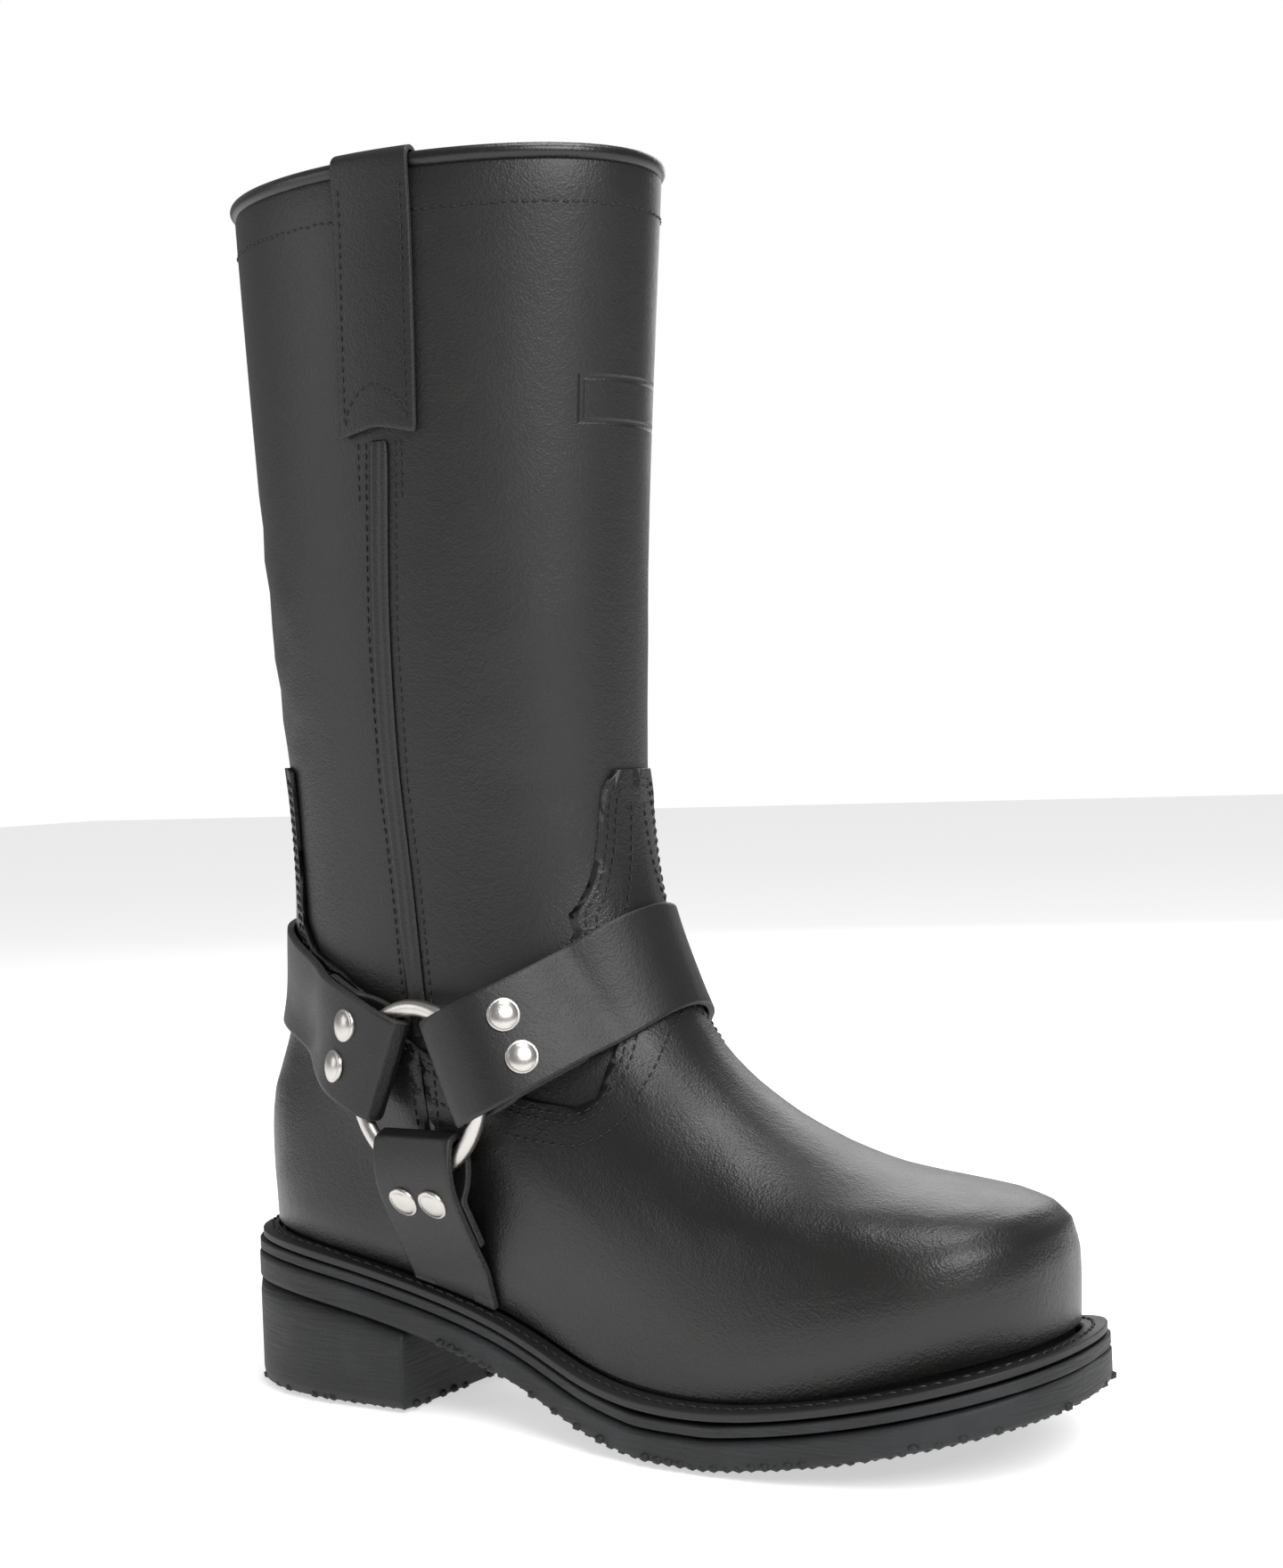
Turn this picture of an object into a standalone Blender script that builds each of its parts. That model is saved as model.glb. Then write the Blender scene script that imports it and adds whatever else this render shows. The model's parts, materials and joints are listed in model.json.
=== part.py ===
"""Harness boot for the right foot, in metres.

+X points to the toe, +Y to the inner side of the foot and +Z up. The origin is on the floor under the
middle of the boot's box. The boot is modelled with the back of its heel at X = 0, and is moved once, at the end.

One function, the skin, gives the outside of the upper. The upper, its overlays, the seams, the straps and
the rings are all placed on it.
"""

from math import cos, pi, radians, sin, sqrt

import bmesh
import bpy
import numpy as np
from mathutils import Matrix, Vector
from mathutils.kdtree import KDTree

# Driving dimensions
SOLE_LENGTH = 0.300
BALL_WIDTH = 0.108
HEEL_WIDTH = 0.075
WAIST_WIDTH = 0.072
HEEL_HEIGHT = 0.0257  # heel block, at its breast
HEEL_LENGTH = 0.0805  # back of the heel to its breast
TOE_SPRING = 0.0188
SHAFT_HEIGHT = 0.392  # floor to the top edge of the shaft's leather

# Thicknesses and margins
OUTSOLE = 0.0095
MIDSOLE = 0.0038
WELT = 0.0030
INSOLE = 0.0030
WALL = 0.0021  # shaft leather with its lining
OVERLAY = 0.0016  # vamp and counter leather
STRAP = 0.0024
PULL = 0.0018
GAP = 0.0003  # between pieces that touch
WELT_RISE = 0.0020  # inner edge of the welt over its outer edge
MIDSOLE_STEP = 0.0005  # the midsole's side is set in by this much
WELT_LEDGE_HEEL = 0.0040
WELT_LEDGE_BALL = 0.0070

# Trim
PIPING_RADIUS = 0.0026
PULL_WIDTH = 0.0270
PULL_LENGTH = 0.0835
PULL_INSIDE = 0.0550
PULL_NOTCH = 0.0032
SEAM_WIDTH = 0.0070
SEAM_HEIGHT = 0.0012
SEAM_END = 0.1170  # height where the side seam runs in between vamp and counter
TONGUE_HEIGHT = 0.2028
TONGUE_WIDTH = 0.0330
BACK_TONGUE_HEIGHT = 0.2070

# Harness
STRAP_WIDTH = 0.0348
FOOT_STRAP_WIDTH = 0.0314
STRAP_SLACK = 0.0006  # between the harness and what lies under it
RING_RADIUS = 0.0254  # to the middle of the wire
WIRE_RADIUS = 0.0027
RING_X = 0.1015  # from the back of the heel
RING_Z = 0.1068
RING_TURN = 6.0  # its front edge stands out from the boot by this angle
RING_LIFT = 0.0106  # middle of the wire over the skin
FOOT_STRAP_LEAN = 1.0  # forward
LANDING = 0.0280  # a strap leaves the ring and lies on the boot within this length
TAB_LENGTH = 0.0240  # the strap's end, folded back under it
TAB_GAP = 0.0009
RIVET_RADIUS = 0.0053
RIVET_HEIGHT = 0.0017
RIVET_SPACING = 0.0145
FOOT_RIVET_SPACING = 0.0122
INSTEP_RIVET_AT = 0.0138  # from the ring's wire, along the strap
HEEL_RIVET_AT = 0.0062
FOOT_RIVET_AT = 0.0095

# Side straps: angle over level at the ring, then the rise over the ring's middle at the middle of the boot, the
# length along the strap to there, and the length of the last part, which levels off
INSTEP_PATH = (24.0, 0.0370, 0.0900, 0.020)
HEEL_PATH = (24.0, 0.0330, 0.1080, 0.045)

# Half widths of the sole along its length, as shares of the named widths, before the ends are rounded
OUTLINE = (
    # along, outer side, inner side, width that both are shares of
    (0.00, 0.493, 0.480, HEEL_WIDTH),
    (0.13, 0.507, 0.493, HEEL_WIDTH),
    (0.25, 0.513, 0.460, HEEL_WIDTH),
    (0.42, 0.569, 0.431, WAIST_WIDTH),
    (0.56, 0.500, 0.380, BALL_WIDTH),
    (0.68, 0.532, 0.449, BALL_WIDTH),
    (0.80, 0.519, 0.477, BALL_WIDTH),
    (0.90, 0.491, 0.491, BALL_WIDTH),
    (1.00, 0.463, 0.491, BALL_WIDTH),
)
TOE_CAP_FROM = {-1: 0.78, 1: 0.84}  # outer side, inner side
TOE_SQUARENESS = 2.5
HEEL_CAP_TO = 0.18
HEEL_SQUARENESS = 2.2

# Underside of the outsole behind the ball, as shares of the heel's height
ARCH = (
    # along, height
    (0.00, 1.36),
    (0.08, 1.34),
    (0.17, 1.22),
    (0.27, 1.00),
    (0.36, 0.74),
    (0.44, 0.45),
    (0.52, 0.16),
    (0.60, 0.00),
)
BALL_TO = 0.67
TOE_RISE_POWER = 1.35

# Rings of the skin from the feather edge to the collar. Lengths along are shares of SOLE_LENGTH, heights are
# shares of SHAFT_HEIGHT at the back, waist, ball and front, half widths are shares of BALL_WIDTH at heel,
# waist and ball, and oval goes from 0, a foot's outline, to 1, an ellipse.
SKIN_RINGS = (
    # back, front, back_z, waist_z, ball_z, front_z, outer heel, waist, ball, inner heel, waist, ball, oval
    (0.028, 0.974, 0.168, 0.117, 0.080, 0.128, 0.318, 0.335, 0.465, 0.308, 0.270, 0.425, 0.00),
    (0.024, 0.968, 0.204, 0.153, 0.122, 0.170, 0.315, 0.356, 0.455, 0.310, 0.315, 0.432, 0.03),
    (0.024, 0.928, 0.235, 0.189, 0.158, 0.185, 0.302, 0.364, 0.425, 0.302, 0.340, 0.415, 0.06),
    (0.031, 0.805, 0.262, 0.224, 0.191, 0.196, 0.292, 0.370, 0.378, 0.292, 0.356, 0.372, 0.22),
    (0.045, 0.684, 0.291, 0.260, 0.234, 0.233, 0.286, 0.372, 0.350, 0.286, 0.363, 0.345, 0.45),
    (0.060, 0.590, 0.323, 0.298, 0.284, 0.289, 0.300, 0.373, 0.352, 0.300, 0.366, 0.348, 0.70),
    (0.073, 0.538, 0.367, 0.354, 0.354, 0.370, 0.380, 0.385, 0.382, 0.380, 0.382, 0.380, 1.00),
    (0.080, 0.5105, 0.472, 0.472, 0.472, 0.472, 0.392, 0.392, 0.392, 0.392, 0.392, 0.392, 1.00),
    (0.071, 0.5090, 0.541, 0.541, 0.541, 0.541, 0.410, 0.410, 0.410, 0.410, 0.410, 0.410, 1.00),
    (0.048, 0.5270, 0.765, 0.765, 0.765, 0.765, 0.457, 0.457, 0.457, 0.457, 0.457, 0.457, 1.00),
    (0.030, 0.5550, 1.000, 1.000, 1.000, 1.000, 0.480, 0.480, 0.480, 0.480, 0.480, 0.480, 1.00),
)

# Line of the side seams: shares of SOLE_LENGTH and SHAFT_HEIGHT
SEAM_LINE = (
    # height, along
    (0.10, 0.331),
    (0.20, 0.328),
    (0.31, 0.317),
    (0.41, 0.308),
    (0.51, 0.299),
    (0.64, 0.301),
    (0.79, 0.315),
    (1.00, 0.325),
)
# Upper edge of the vamp beside the ankle, from the side seam to the middle of the instep strap
VAMP_EDGE = (
    # along from the seam, height over SEAM_END, as shares of HEEL_LENGTH
    (0.000, 0.000),
    (0.095, -0.047),
    (0.237, -0.118),
    (0.473, -0.181),
    (0.663, -0.205),
    (0.749, -0.166),
    (0.789, -0.032),
    (0.789, 0.118),
    (0.710, 0.276),
    (0.600, 0.426),
)

# Half width of the tongue up the front of the shaft and depth under its top, as shares of TONGUE_WIDTH
TONGUE = (
    # half width, depth
    (0.865, 1.72),
    (0.765, 1.48),
    (0.775, 1.31),
    (0.690, 1.18),
    (0.615, 1.04),
    (0.545, 0.84),
    (0.495, 0.63),
    (0.450, 0.33),
    (0.425, 0.175),
    (0.370, 0.07),
    (0.290, 0.00),
)

# Upper edge of the counter behind the side seam, up to its tongue on the back of the shaft
COUNTER_EDGE = (
    # along from the back of the heel, height, as shares of SOLE_LENGTH and SHAFT_HEIGHT
    (0.24, 0.345),
    (0.16, 0.375),
    (0.135, 0.400),
    (0.128, 0.460),
    (0.130, 0.524),
)
ROWS_BETWEEN_RINGS = (1, 1, 2, 2, 2, 2, 2, 2, 2, 1, 2, 2)

SIDE_COLUMNS = 18  # columns of the upper from heel to toe, on each side
SOLE_STATIONS = 30
TUBE_SIDES = 6

OUTER, INNER = -1, 1  # the sign of Y on each side


def smooth(share):
    """0 to 1 with flat ends."""
    share = np.clip(share, 0.0, 1.0)
    return share * share * (3 - 2 * share)


def curve_through(knots, values, wanted):
    """Cubic curve through the points, with the slopes of a Catmull-Rom spline on uneven knots."""
    knots, values, wanted = (np.asarray(item, float) for item in (knots, values, wanted))
    steps = np.diff(knots)
    rises = np.diff(values, axis=0) / (steps if values.ndim == 1 else steps[:, None])
    slopes = np.empty_like(values)
    slopes[0], slopes[-1] = rises[0], rises[-1]
    before, after = steps[:-1], steps[1:]
    if values.ndim > 1:
        before, after = before[:, None], after[:, None]
    slopes[1:-1] = (rises[:-1] * after + rises[1:] * before) / (before + after)
    spot = np.clip(np.searchsorted(knots, wanted, side="right") - 1, 0, len(steps) - 1)
    step = steps[spot]
    share = (wanted - knots[spot]) / step
    if values.ndim > 1:
        share, step = share[:, None], step[:, None]
    return (
        values[spot] * (1 + 2 * share) * (1 - share) ** 2
        + slopes[spot] * step * share * (1 - share) ** 2
        + values[spot + 1] * share**2 * (3 - 2 * share)
        + slopes[spot + 1] * step * share**2 * (share - 1)
    )


def end_cap(share, squareness):
    """Quarter of a superellipse: 1 at share 0, down to 0 at share 1."""
    share = np.clip(share, 0.0, 1.0)
    return (1 - share**squareness) ** (1 / squareness)


# Sole


def sole_half_width(x, side):
    """Half width of the sole at x, rounded off at the heel and the toe."""
    along = np.clip(np.asarray(x, float) / SOLE_LENGTH, 0, 1)
    column = 1 if side == OUTER else 2
    width = curve_through([row[0] for row in OUTLINE], [row[column] * row[3] for row in OUTLINE], along)
    cap_from = TOE_CAP_FROM[side]
    toe = end_cap((along - cap_from) / (1 - cap_from), TOE_SQUARENESS)
    heel = end_cap((HEEL_CAP_TO - along) / HEEL_CAP_TO, HEEL_SQUARENESS)
    return width * toe * heel


def underside(x):
    """Height of the outsole's underside: up over the heel, flat at the ball, up again to the toe."""
    along = np.asarray(x, float) / SOLE_LENGTH
    arch = curve_through([row[0] for row in ARCH], [row[1] for row in ARCH], np.clip(along, 0, ARCH[-1][0]))
    toe = np.clip((along - BALL_TO) / (1 - BALL_TO), 0, None) ** TOE_RISE_POWER
    return HEEL_HEIGHT * np.clip(arch, 0, None) + TOE_SPRING * toe


def outsole_top(x):
    return underside(x) + OUTSOLE


def midsole_top(x):
    return outsole_top(x) + GAP + MIDSOLE


def welt_ledge(x):
    """Width of the welt that shows beside the upper."""
    return WELT_LEDGE_HEEL + (WELT_LEDGE_BALL - WELT_LEDGE_HEEL) * smooth(np.asarray(x) / SOLE_LENGTH / 0.6)


# Skin of the upper


def ring_half_width(along, widths, oval, side):
    """Half width of a ring at a share of its own length: foot shaped at oval 0 and an ellipse at oval 1."""
    width = curve_through((0.0, 0.16, 0.42, 0.70, 0.86, 1.0), widths[[0, 0, 1, 2, 2, 2]], along)
    cap_from = TOE_CAP_FROM[side] - 0.02
    front_from = cap_from + (0.5 - cap_from) * oval
    back_to = HEEL_CAP_TO + (0.5 - HEEL_CAP_TO) * oval
    front = end_cap((along - front_from) / (1 - front_from), TOE_SQUARENESS + (2 - TOE_SQUARENESS) * oval)
    back = end_cap((back_to - along) / back_to, HEEL_SQUARENESS + (2 - HEEL_SQUARENESS) * oval)
    return width * front * back


def half_ring(points_of, shares):
    """Points at equal shares of the length of one side, from the back to the front."""
    along = (1 - np.cos(np.linspace(0, pi, 241))) / 2
    line = points_of(along)
    length = np.concatenate([[0], np.cumsum(np.linalg.norm(np.diff(line, axis=0), axis=1))])
    return np.stack([np.interp(shares * length[-1], length, line[:, axis]) for axis in range(3)], axis=1)


def feather_side(side, rise):
    """The edge of the upper where it stands in the welt, raised by rise."""

    def points_of(along):
        ledge_back, ledge_front = WELT_LEDGE_HEEL + OVERLAY + GAP, WELT_LEDGE_BALL + OVERLAY + GAP
        x = ledge_back + (SOLE_LENGTH - ledge_back - ledge_front) * along
        outline_x = SOLE_LENGTH * along
        inset = (welt_ledge(x) + OVERLAY + GAP) * smooth(along / 0.03) * smooth((1 - along) / 0.03)
        half = np.clip(sole_half_width(outline_x, side) - inset, 0, None)
        half[[0, -1]] = 0
        return np.stack([x, side * half, midsole_top(x) + GAP + rise], axis=1)

    return points_of


def ring_side(row, side):
    first = 6 if side == OUTER else 9
    widths = np.array(row[first : first + 3]) * BALL_WIDTH

    def points_of(along):
        x = SOLE_LENGTH * (row[0] + (row[1] - row[0]) * along)
        half = ring_half_width(along, widths, row[12], side)
        z = SHAFT_HEIGHT * curve_through((0.0, 0.4, 0.7, 1.0), row[2:6], along)
        return np.stack([x, side * half, z], axis=1)

    return points_of


def whole_ring(points_for_side, columns):
    """Closed ring of 2 * columns points: back, outer side, front, inner side."""
    shares = np.linspace(0, 1, columns + 1)
    outer = half_ring(points_for_side(OUTER), shares)
    inner = half_ring(points_for_side(INNER), shares)
    return np.concatenate([outer, inner[-2:0:-1]])


def skin_keys(columns):
    """Points of the skin's key rings, first those at the foot of the welt and at its top."""
    rises = (0.0, WELT + WELT_RISE)
    keys = [whole_ring(lambda side, rise=rise: feather_side(side, rise), columns) for rise in rises]
    keys += [whole_ring(lambda side, row=row: ring_side(row, side), columns) for row in SKIN_RINGS]
    return np.array(keys)


def skin_grid(columns, rows_between):
    """Points and outward normals of the skin, as [row, column]."""
    keys = skin_keys(columns)
    steps = np.linalg.norm(np.diff(keys, axis=0), axis=2).mean(axis=1)
    knots = np.concatenate([[0], np.cumsum(steps)])
    wanted = np.concatenate(
        [
            knots[index] + steps[index] * np.arange(count) / count
            for index, count in enumerate(rows_between)
        ]
        + [knots[-1:]]
    )
    count = keys.shape[1]
    grid = np.stack([curve_through(knots, keys[:, column], wanted) for column in range(count)], axis=1)
    along = np.roll(grid, -1, axis=1) - np.roll(grid, 1, axis=1)
    up = np.gradient(grid, axis=0)
    normals = np.cross(along, up)
    return grid, normals / np.linalg.norm(normals, axis=2)[:, :, None]


FINE_GRID, FINE_NORMALS = skin_grid(100, [8] * len(ROWS_BETWEEN_RINGS))


# Meshes


def slab(name, top, bottom, material, wrap=False):
    """Closed solid between two surfaces given as [row, column] points, whose columns may run all round."""
    mesh = bmesh.new()
    sheets = [[[mesh.verts.new(point) for point in row] for row in sheet] for sheet in (top, bottom)]
    rows, columns = len(top), len(top[0])
    across = columns if wrap else columns - 1
    for sheet in sheets:
        for row in range(rows - 1):
            for column in range(across):
                after = (column + 1) % columns
                mesh.faces.new(
                    (sheet[row][column], sheet[row][after], sheet[row + 1][after], sheet[row + 1][column])
                )
    for row in (0, rows - 1):
        for column in range(across):
            after = (column + 1) % columns
            mesh.faces.new(
                (sheets[0][row][column], sheets[1][row][column], sheets[1][row][after], sheets[0][row][after])
            )
    if not wrap:
        for column in (0, columns - 1):
            for row in range(rows - 1):
                mesh.faces.new(
                    (
                        sheets[0][row][column],
                        sheets[0][row + 1][column],
                        sheets[1][row + 1][column],
                        sheets[1][row][column],
                    )
                )
    return finish(name, mesh, material)


def tube(name, rings, material):
    """Closed tube through rings of points, joined end to end."""
    mesh = bmesh.new()
    loops = [[mesh.verts.new(point) for point in ring] for ring in rings]
    for loop, following in zip(loops, loops[1:] + loops[:1]):
        for index in range(len(loop)):
            after = (index + 1) % len(loop)
            mesh.faces.new((loop[index], loop[after], following[after], following[index]))
    return finish(name, mesh, material)


def finish(name, mesh, material):
    bmesh.ops.remove_doubles(mesh, verts=mesh.verts, dist=1e-5)
    bmesh.ops.recalc_face_normals(mesh, faces=mesh.faces)
    data = bpy.data.meshes.new(name)
    mesh.to_mesh(data)
    mesh.free()
    data.shade_smooth()
    data.set_sharp_from_angle(angle=radians(40))
    data.materials.append(material)
    piece = bpy.data.objects.new(name, data)
    bpy.context.scene.collection.objects.link(piece)
    return piece


def material(name, color, roughness, metallic=0.0):
    made = bpy.data.materials.new(name)
    made.use_nodes = True
    shader = made.node_tree.nodes["Principled BSDF"]
    shader.inputs["Base Color"].default_value = (*color, 1)
    shader.inputs["Roughness"].default_value = roughness
    shader.inputs["Metallic"].default_value = metallic
    return made


# Pieces of the sole


def stations(first, last, count):
    """Places along the foot, closer together at both ends."""
    return first + (last - first) * (1 - np.cos(np.linspace(0, pi, count))) / 2


def layer(name, x, outline, low, high, finish_with):
    """Level layer of the sole between two heights, whose sides follow the outline."""
    lanes = (OUTER, INNER)
    top = [[(at, side * outline(at, side), high(at)) for side in lanes] for at in x]
    bottom = [[(at, side * outline(at, side), low(at)) for side in lanes] for at in x]
    return slab(name, top, bottom, finish_with)


def make_sole(rubber, leather):
    flat = np.array([ARCH[-1][0], BALL_TO]) * SOLE_LENGTH
    x = stations(0.0, SOLE_LENGTH, SOLE_STATIONS)
    x = np.sort(np.append(x[(x < flat[0] - 0.004) | (x > flat[1] + 0.004)], flat))
    layer("outsole", x, sole_half_width, underside, outsole_top, rubber)

    def set_in(at, side):
        return max(float(sole_half_width(at, side)) - MIDSOLE_STEP, 0.0)

    layer("midsole", x, set_in, lambda at: outsole_top(at) + GAP, midsole_top, rubber)
    back = stations(0.0, 2 * HEEL_LENGTH, 24)[:12]
    back = np.append(back[back < HEEL_LENGTH - 0.004], HEEL_LENGTH)
    layer("heel_block", back, sole_half_width, lambda at: 0.0, lambda at: underside(at) - GAP, rubber)
    make_welt(leather)


def make_welt(leather):
    """Strip round the upper, from the sole's edge to the leather, with its top sloping outwards."""
    columns = SIDE_COLUMNS

    def edge(side):
        def points_of(along):
            x = SOLE_LENGTH * along
            half = sole_half_width(x, side)
            return np.stack([x, side * half, midsole_top(x) + 3 * GAP], axis=1)

        return points_of

    outer = whole_ring(edge, columns)
    inner = whole_ring(lambda side: feather_side(side, 0.0), columns)
    outward = outer - inner
    outward[:, 2] = 0
    outward /= np.linalg.norm(outward, axis=1)[:, None]
    inner_low = inner + outward * (OVERLAY + 2 * GAP) + np.array([0, 0, 2 * GAP])
    inner_high = inner_low + np.array([0, 0, WELT + WELT_RISE - 4 * GAP])
    outer_high = outer + np.array([0, 0, WELT - 2 * GAP])
    slab("welt", [inner_high, outer_high], [inner_low, outer], leather, wrap=True)


def make_insole(leather):
    ring = whole_ring(lambda side: feather_side(side, 0.0), SIDE_COLUMNS)
    middle = ring.mean(axis=0)
    toward = middle - ring
    toward[:, 0] *= 0.35
    toward[:, 2] = 0
    toward /= np.linalg.norm(toward, axis=1)[:, None]
    inset = ring + toward * 2 * WALL
    outer = inset[: SIDE_COLUMNS + 1]
    inner = np.concatenate([inset[:1], inset[: SIDE_COLUMNS - 1 : -1]])
    low = [[left, right] for left, right in zip(outer, inner)]
    high = [[left + (0, 0, INSOLE), right + (0, 0, INSOLE)] for left, right in low]
    slab("insole", high, low, leather)


def make_upper(leather):
    grid, normals = skin_grid(SIDE_COLUMNS, ROWS_BETWEEN_RINGS)
    inside = grid - normals * WALL
    inside[0, :, 2] = grid[0, :, 2]
    inside[-1, :, 2] = grid[-1, :, 2]
    slab("upper", grid, inside, leather, wrap=True)
    return grid, normals


# Placing on the skin

SKIN_TREE = KDTree(FINE_GRID.shape[0] * FINE_GRID.shape[1])
for index, point in enumerate(FINE_GRID.reshape(-1, 3)):
    SKIN_TREE.insert(point, index)
SKIN_TREE.balance()
SKIN_POINTS, SKIN_NORMALS = FINE_GRID.reshape(-1, 3), FINE_NORMALS.reshape(-1, 3)


def seat(point, lift=0.0):
    """Drops a point onto the skin and raises it by lift. Returns the point and the skin's normal there."""
    found = SKIN_TREE.find_n(Vector(point), 8)
    spots = [index for _, index, _ in found]
    weights = np.array([1 / (distance**2 + 1e-6) for _, _, distance in found])
    weights /= weights.sum()
    normal = weights @ SKIN_NORMALS[spots]
    normal /= np.linalg.norm(normal)
    base = weights @ SKIN_POINTS[spots]
    point = np.asarray(point, float)
    return point - normal * ((point - base) @ normal) + normal * lift, normal


def seat_at(x, z, side, lift=0.0):
    """The skin's point at a place in the side view."""
    point = np.array([x, side * BALL_WIDTH / 2, z])
    for _ in range(4):
        spot, normal = seat(point)
        point = np.array([x, spot[1], z])
    return seat(point, lift)


def seam_x(z):
    share = np.clip(z / SHAFT_HEIGHT, SEAM_LINE[0][0], 1)
    return SOLE_LENGTH * float(curve_through(*zip(*SEAM_LINE), np.array([share]))[0])


def thick(name, middle, thickness, finish_with):
    """Solid of even thickness about a surface of [row, column] points."""
    middle = np.array(middle)
    normals = np.cross(np.gradient(middle, axis=0), np.gradient(middle, axis=1))
    normals /= np.linalg.norm(normals, axis=2)[:, :, None]
    return slab(name, middle + normals * thickness / 2, middle - normals * thickness / 2, finish_with)


# Overlays


def prism(name, outline, axis, low, high):
    """Cutter with an outline in the side view, axis 1, or the front view, axis 0."""
    mesh = bmesh.new()
    place = {0: lambda a, b, depth: (depth, a, b), 1: lambda a, b, depth: (a, depth, b)}[axis]
    face = mesh.faces.new([mesh.verts.new(place(a, b, low)) for a, b in outline])
    made = bmesh.ops.extrude_face_region(mesh, geom=[face])
    moved = [item for item in made["geom"] if isinstance(item, bmesh.types.BMVert)]
    shift = (high - low, 0, 0) if axis == 0 else (0, high - low, 0)
    bmesh.ops.translate(mesh, verts=moved, vec=shift)
    bmesh.ops.recalc_face_normals(mesh, faces=mesh.faces)
    data = bpy.data.meshes.new(name)
    mesh.to_mesh(data)
    mesh.free()
    cutter = bpy.data.objects.new(name, data)
    bpy.context.scene.collection.objects.link(cutter)
    cutter.hide_render = True
    cutter.display_type = "WIRE"
    return cutter


def cut(piece, cutter):
    modifier = piece.modifiers.new(cutter.name, "BOOLEAN")
    modifier.operation = "DIFFERENCE"
    modifier.object = cutter


def overlay(name, grid, normals, finish_with):
    """Shell over the upper, all round, from the welt to over the tongues' tops."""
    top = next(row for row in range(len(grid)) if grid[row, :, 2].min() > BACK_TONGUE_HEIGHT) + 1
    sheets = [grid[1:top] + normals[1:top] * lift for lift in (GAP + OVERLAY, GAP)]
    for sheet in sheets:
        sheet[0, :, 2] = grid[1, :, 2]
    return slab(name, sheets[0], sheets[1], finish_with, wrap=True)


def make_overlays(grid, normals, leather):
    far = SOLE_LENGTH + 0.05
    above = SHAFT_HEIGHT
    heights = np.linspace(0, SEAM_END, 8)
    vamp = overlay("vamp", grid, normals, leather)
    start = seam_x(SEAM_END) + GAP
    edge = [(start + a * HEEL_LENGTH, SEAM_END + b * HEEL_LENGTH) for a, b in VAMP_EDGE]
    seam = [(seam_x(z) + GAP, z) for z in heights[:-1]]
    behind = [(-far, 0), *seam, *edge, (RING_X, edge[-1][1]), (RING_X, above), (-far, above)]
    cut(vamp, prism("vamp_side_cut", behind, 1, -far, far))
    left = [(-half * TONGUE_WIDTH, TONGUE_HEIGHT - depth * TONGUE_WIDTH) for half, depth in TONGUE]
    right = [(-y, z) for y, z in reversed(left)]
    low = left[0][1]
    around = [(-far, low), *left, *right, (far, low), (far, above), (-far, above)]
    cut(vamp, prism("vamp_front_cut", around, 0, RING_X - 0.01, far))
    counter = overlay("counter", grid, normals, leather)
    seam = [(seam_x(z) - GAP, z) for z in heights]
    edge = [(along * SOLE_LENGTH, height * SHAFT_HEIGHT) for along, height in COUNTER_EDGE]
    corner = (edge[-1][0] - 0.005, BACK_TONGUE_HEIGHT)
    ahead = [*seam, *edge, corner, (-far, BACK_TONGUE_HEIGHT), (-far, above), (far, above), (far, 0)]
    cut(counter, prism("counter_cut", ahead, 1, -far, far))


def make_seam(side, leather):
    """Raised seam down the side of the shaft: two folded edges with a groove between."""
    profile = ((-0.50, 0.0), (-0.27, 1.0), (0.0, 0.35), (0.27, 1.0), (0.50, 0.0))
    heights = np.linspace(PULL_END - 2 * GAP, SEAM_END + 0.004, 12)
    top, bottom = [], []
    for z in heights:
        places = [(seam_x(z) + along * SEAM_WIDTH, rise) for along, rise in profile]
        top.append([seat_at(x, z, side, 2 * GAP + rise * SEAM_HEIGHT)[0] for x, rise in places])
        bottom.append([seat_at(x, z, side, GAP)[0] for x, _ in places])
    slab("seam_outer" if side == OUTER else "seam_inner", top, bottom, leather)


# Collar

PULL_END = SHAFT_HEIGHT + PIPING_RADIUS - PULL_LENGTH


def make_piping(grid, normals, leather):
    collar = grid[-1] - normals[-1] * WALL / 2
    collar[:, 2] = SHAFT_HEIGHT + GAP + PIPING_RADIUS
    turns = np.arange(TUBE_SIDES) * 2 * pi / TUBE_SIDES
    level = normals[-1] * (1, 1, 0)
    level /= np.linalg.norm(level, axis=1)[:, None]
    rings = [
        [point + PIPING_RADIUS * (out * cos(turn) + np.array([0, 0, sin(turn)])) for turn in turns]
        for point, out in zip(collar, level)
    ]
    tube("collar_piping", rings, leather)


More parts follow.
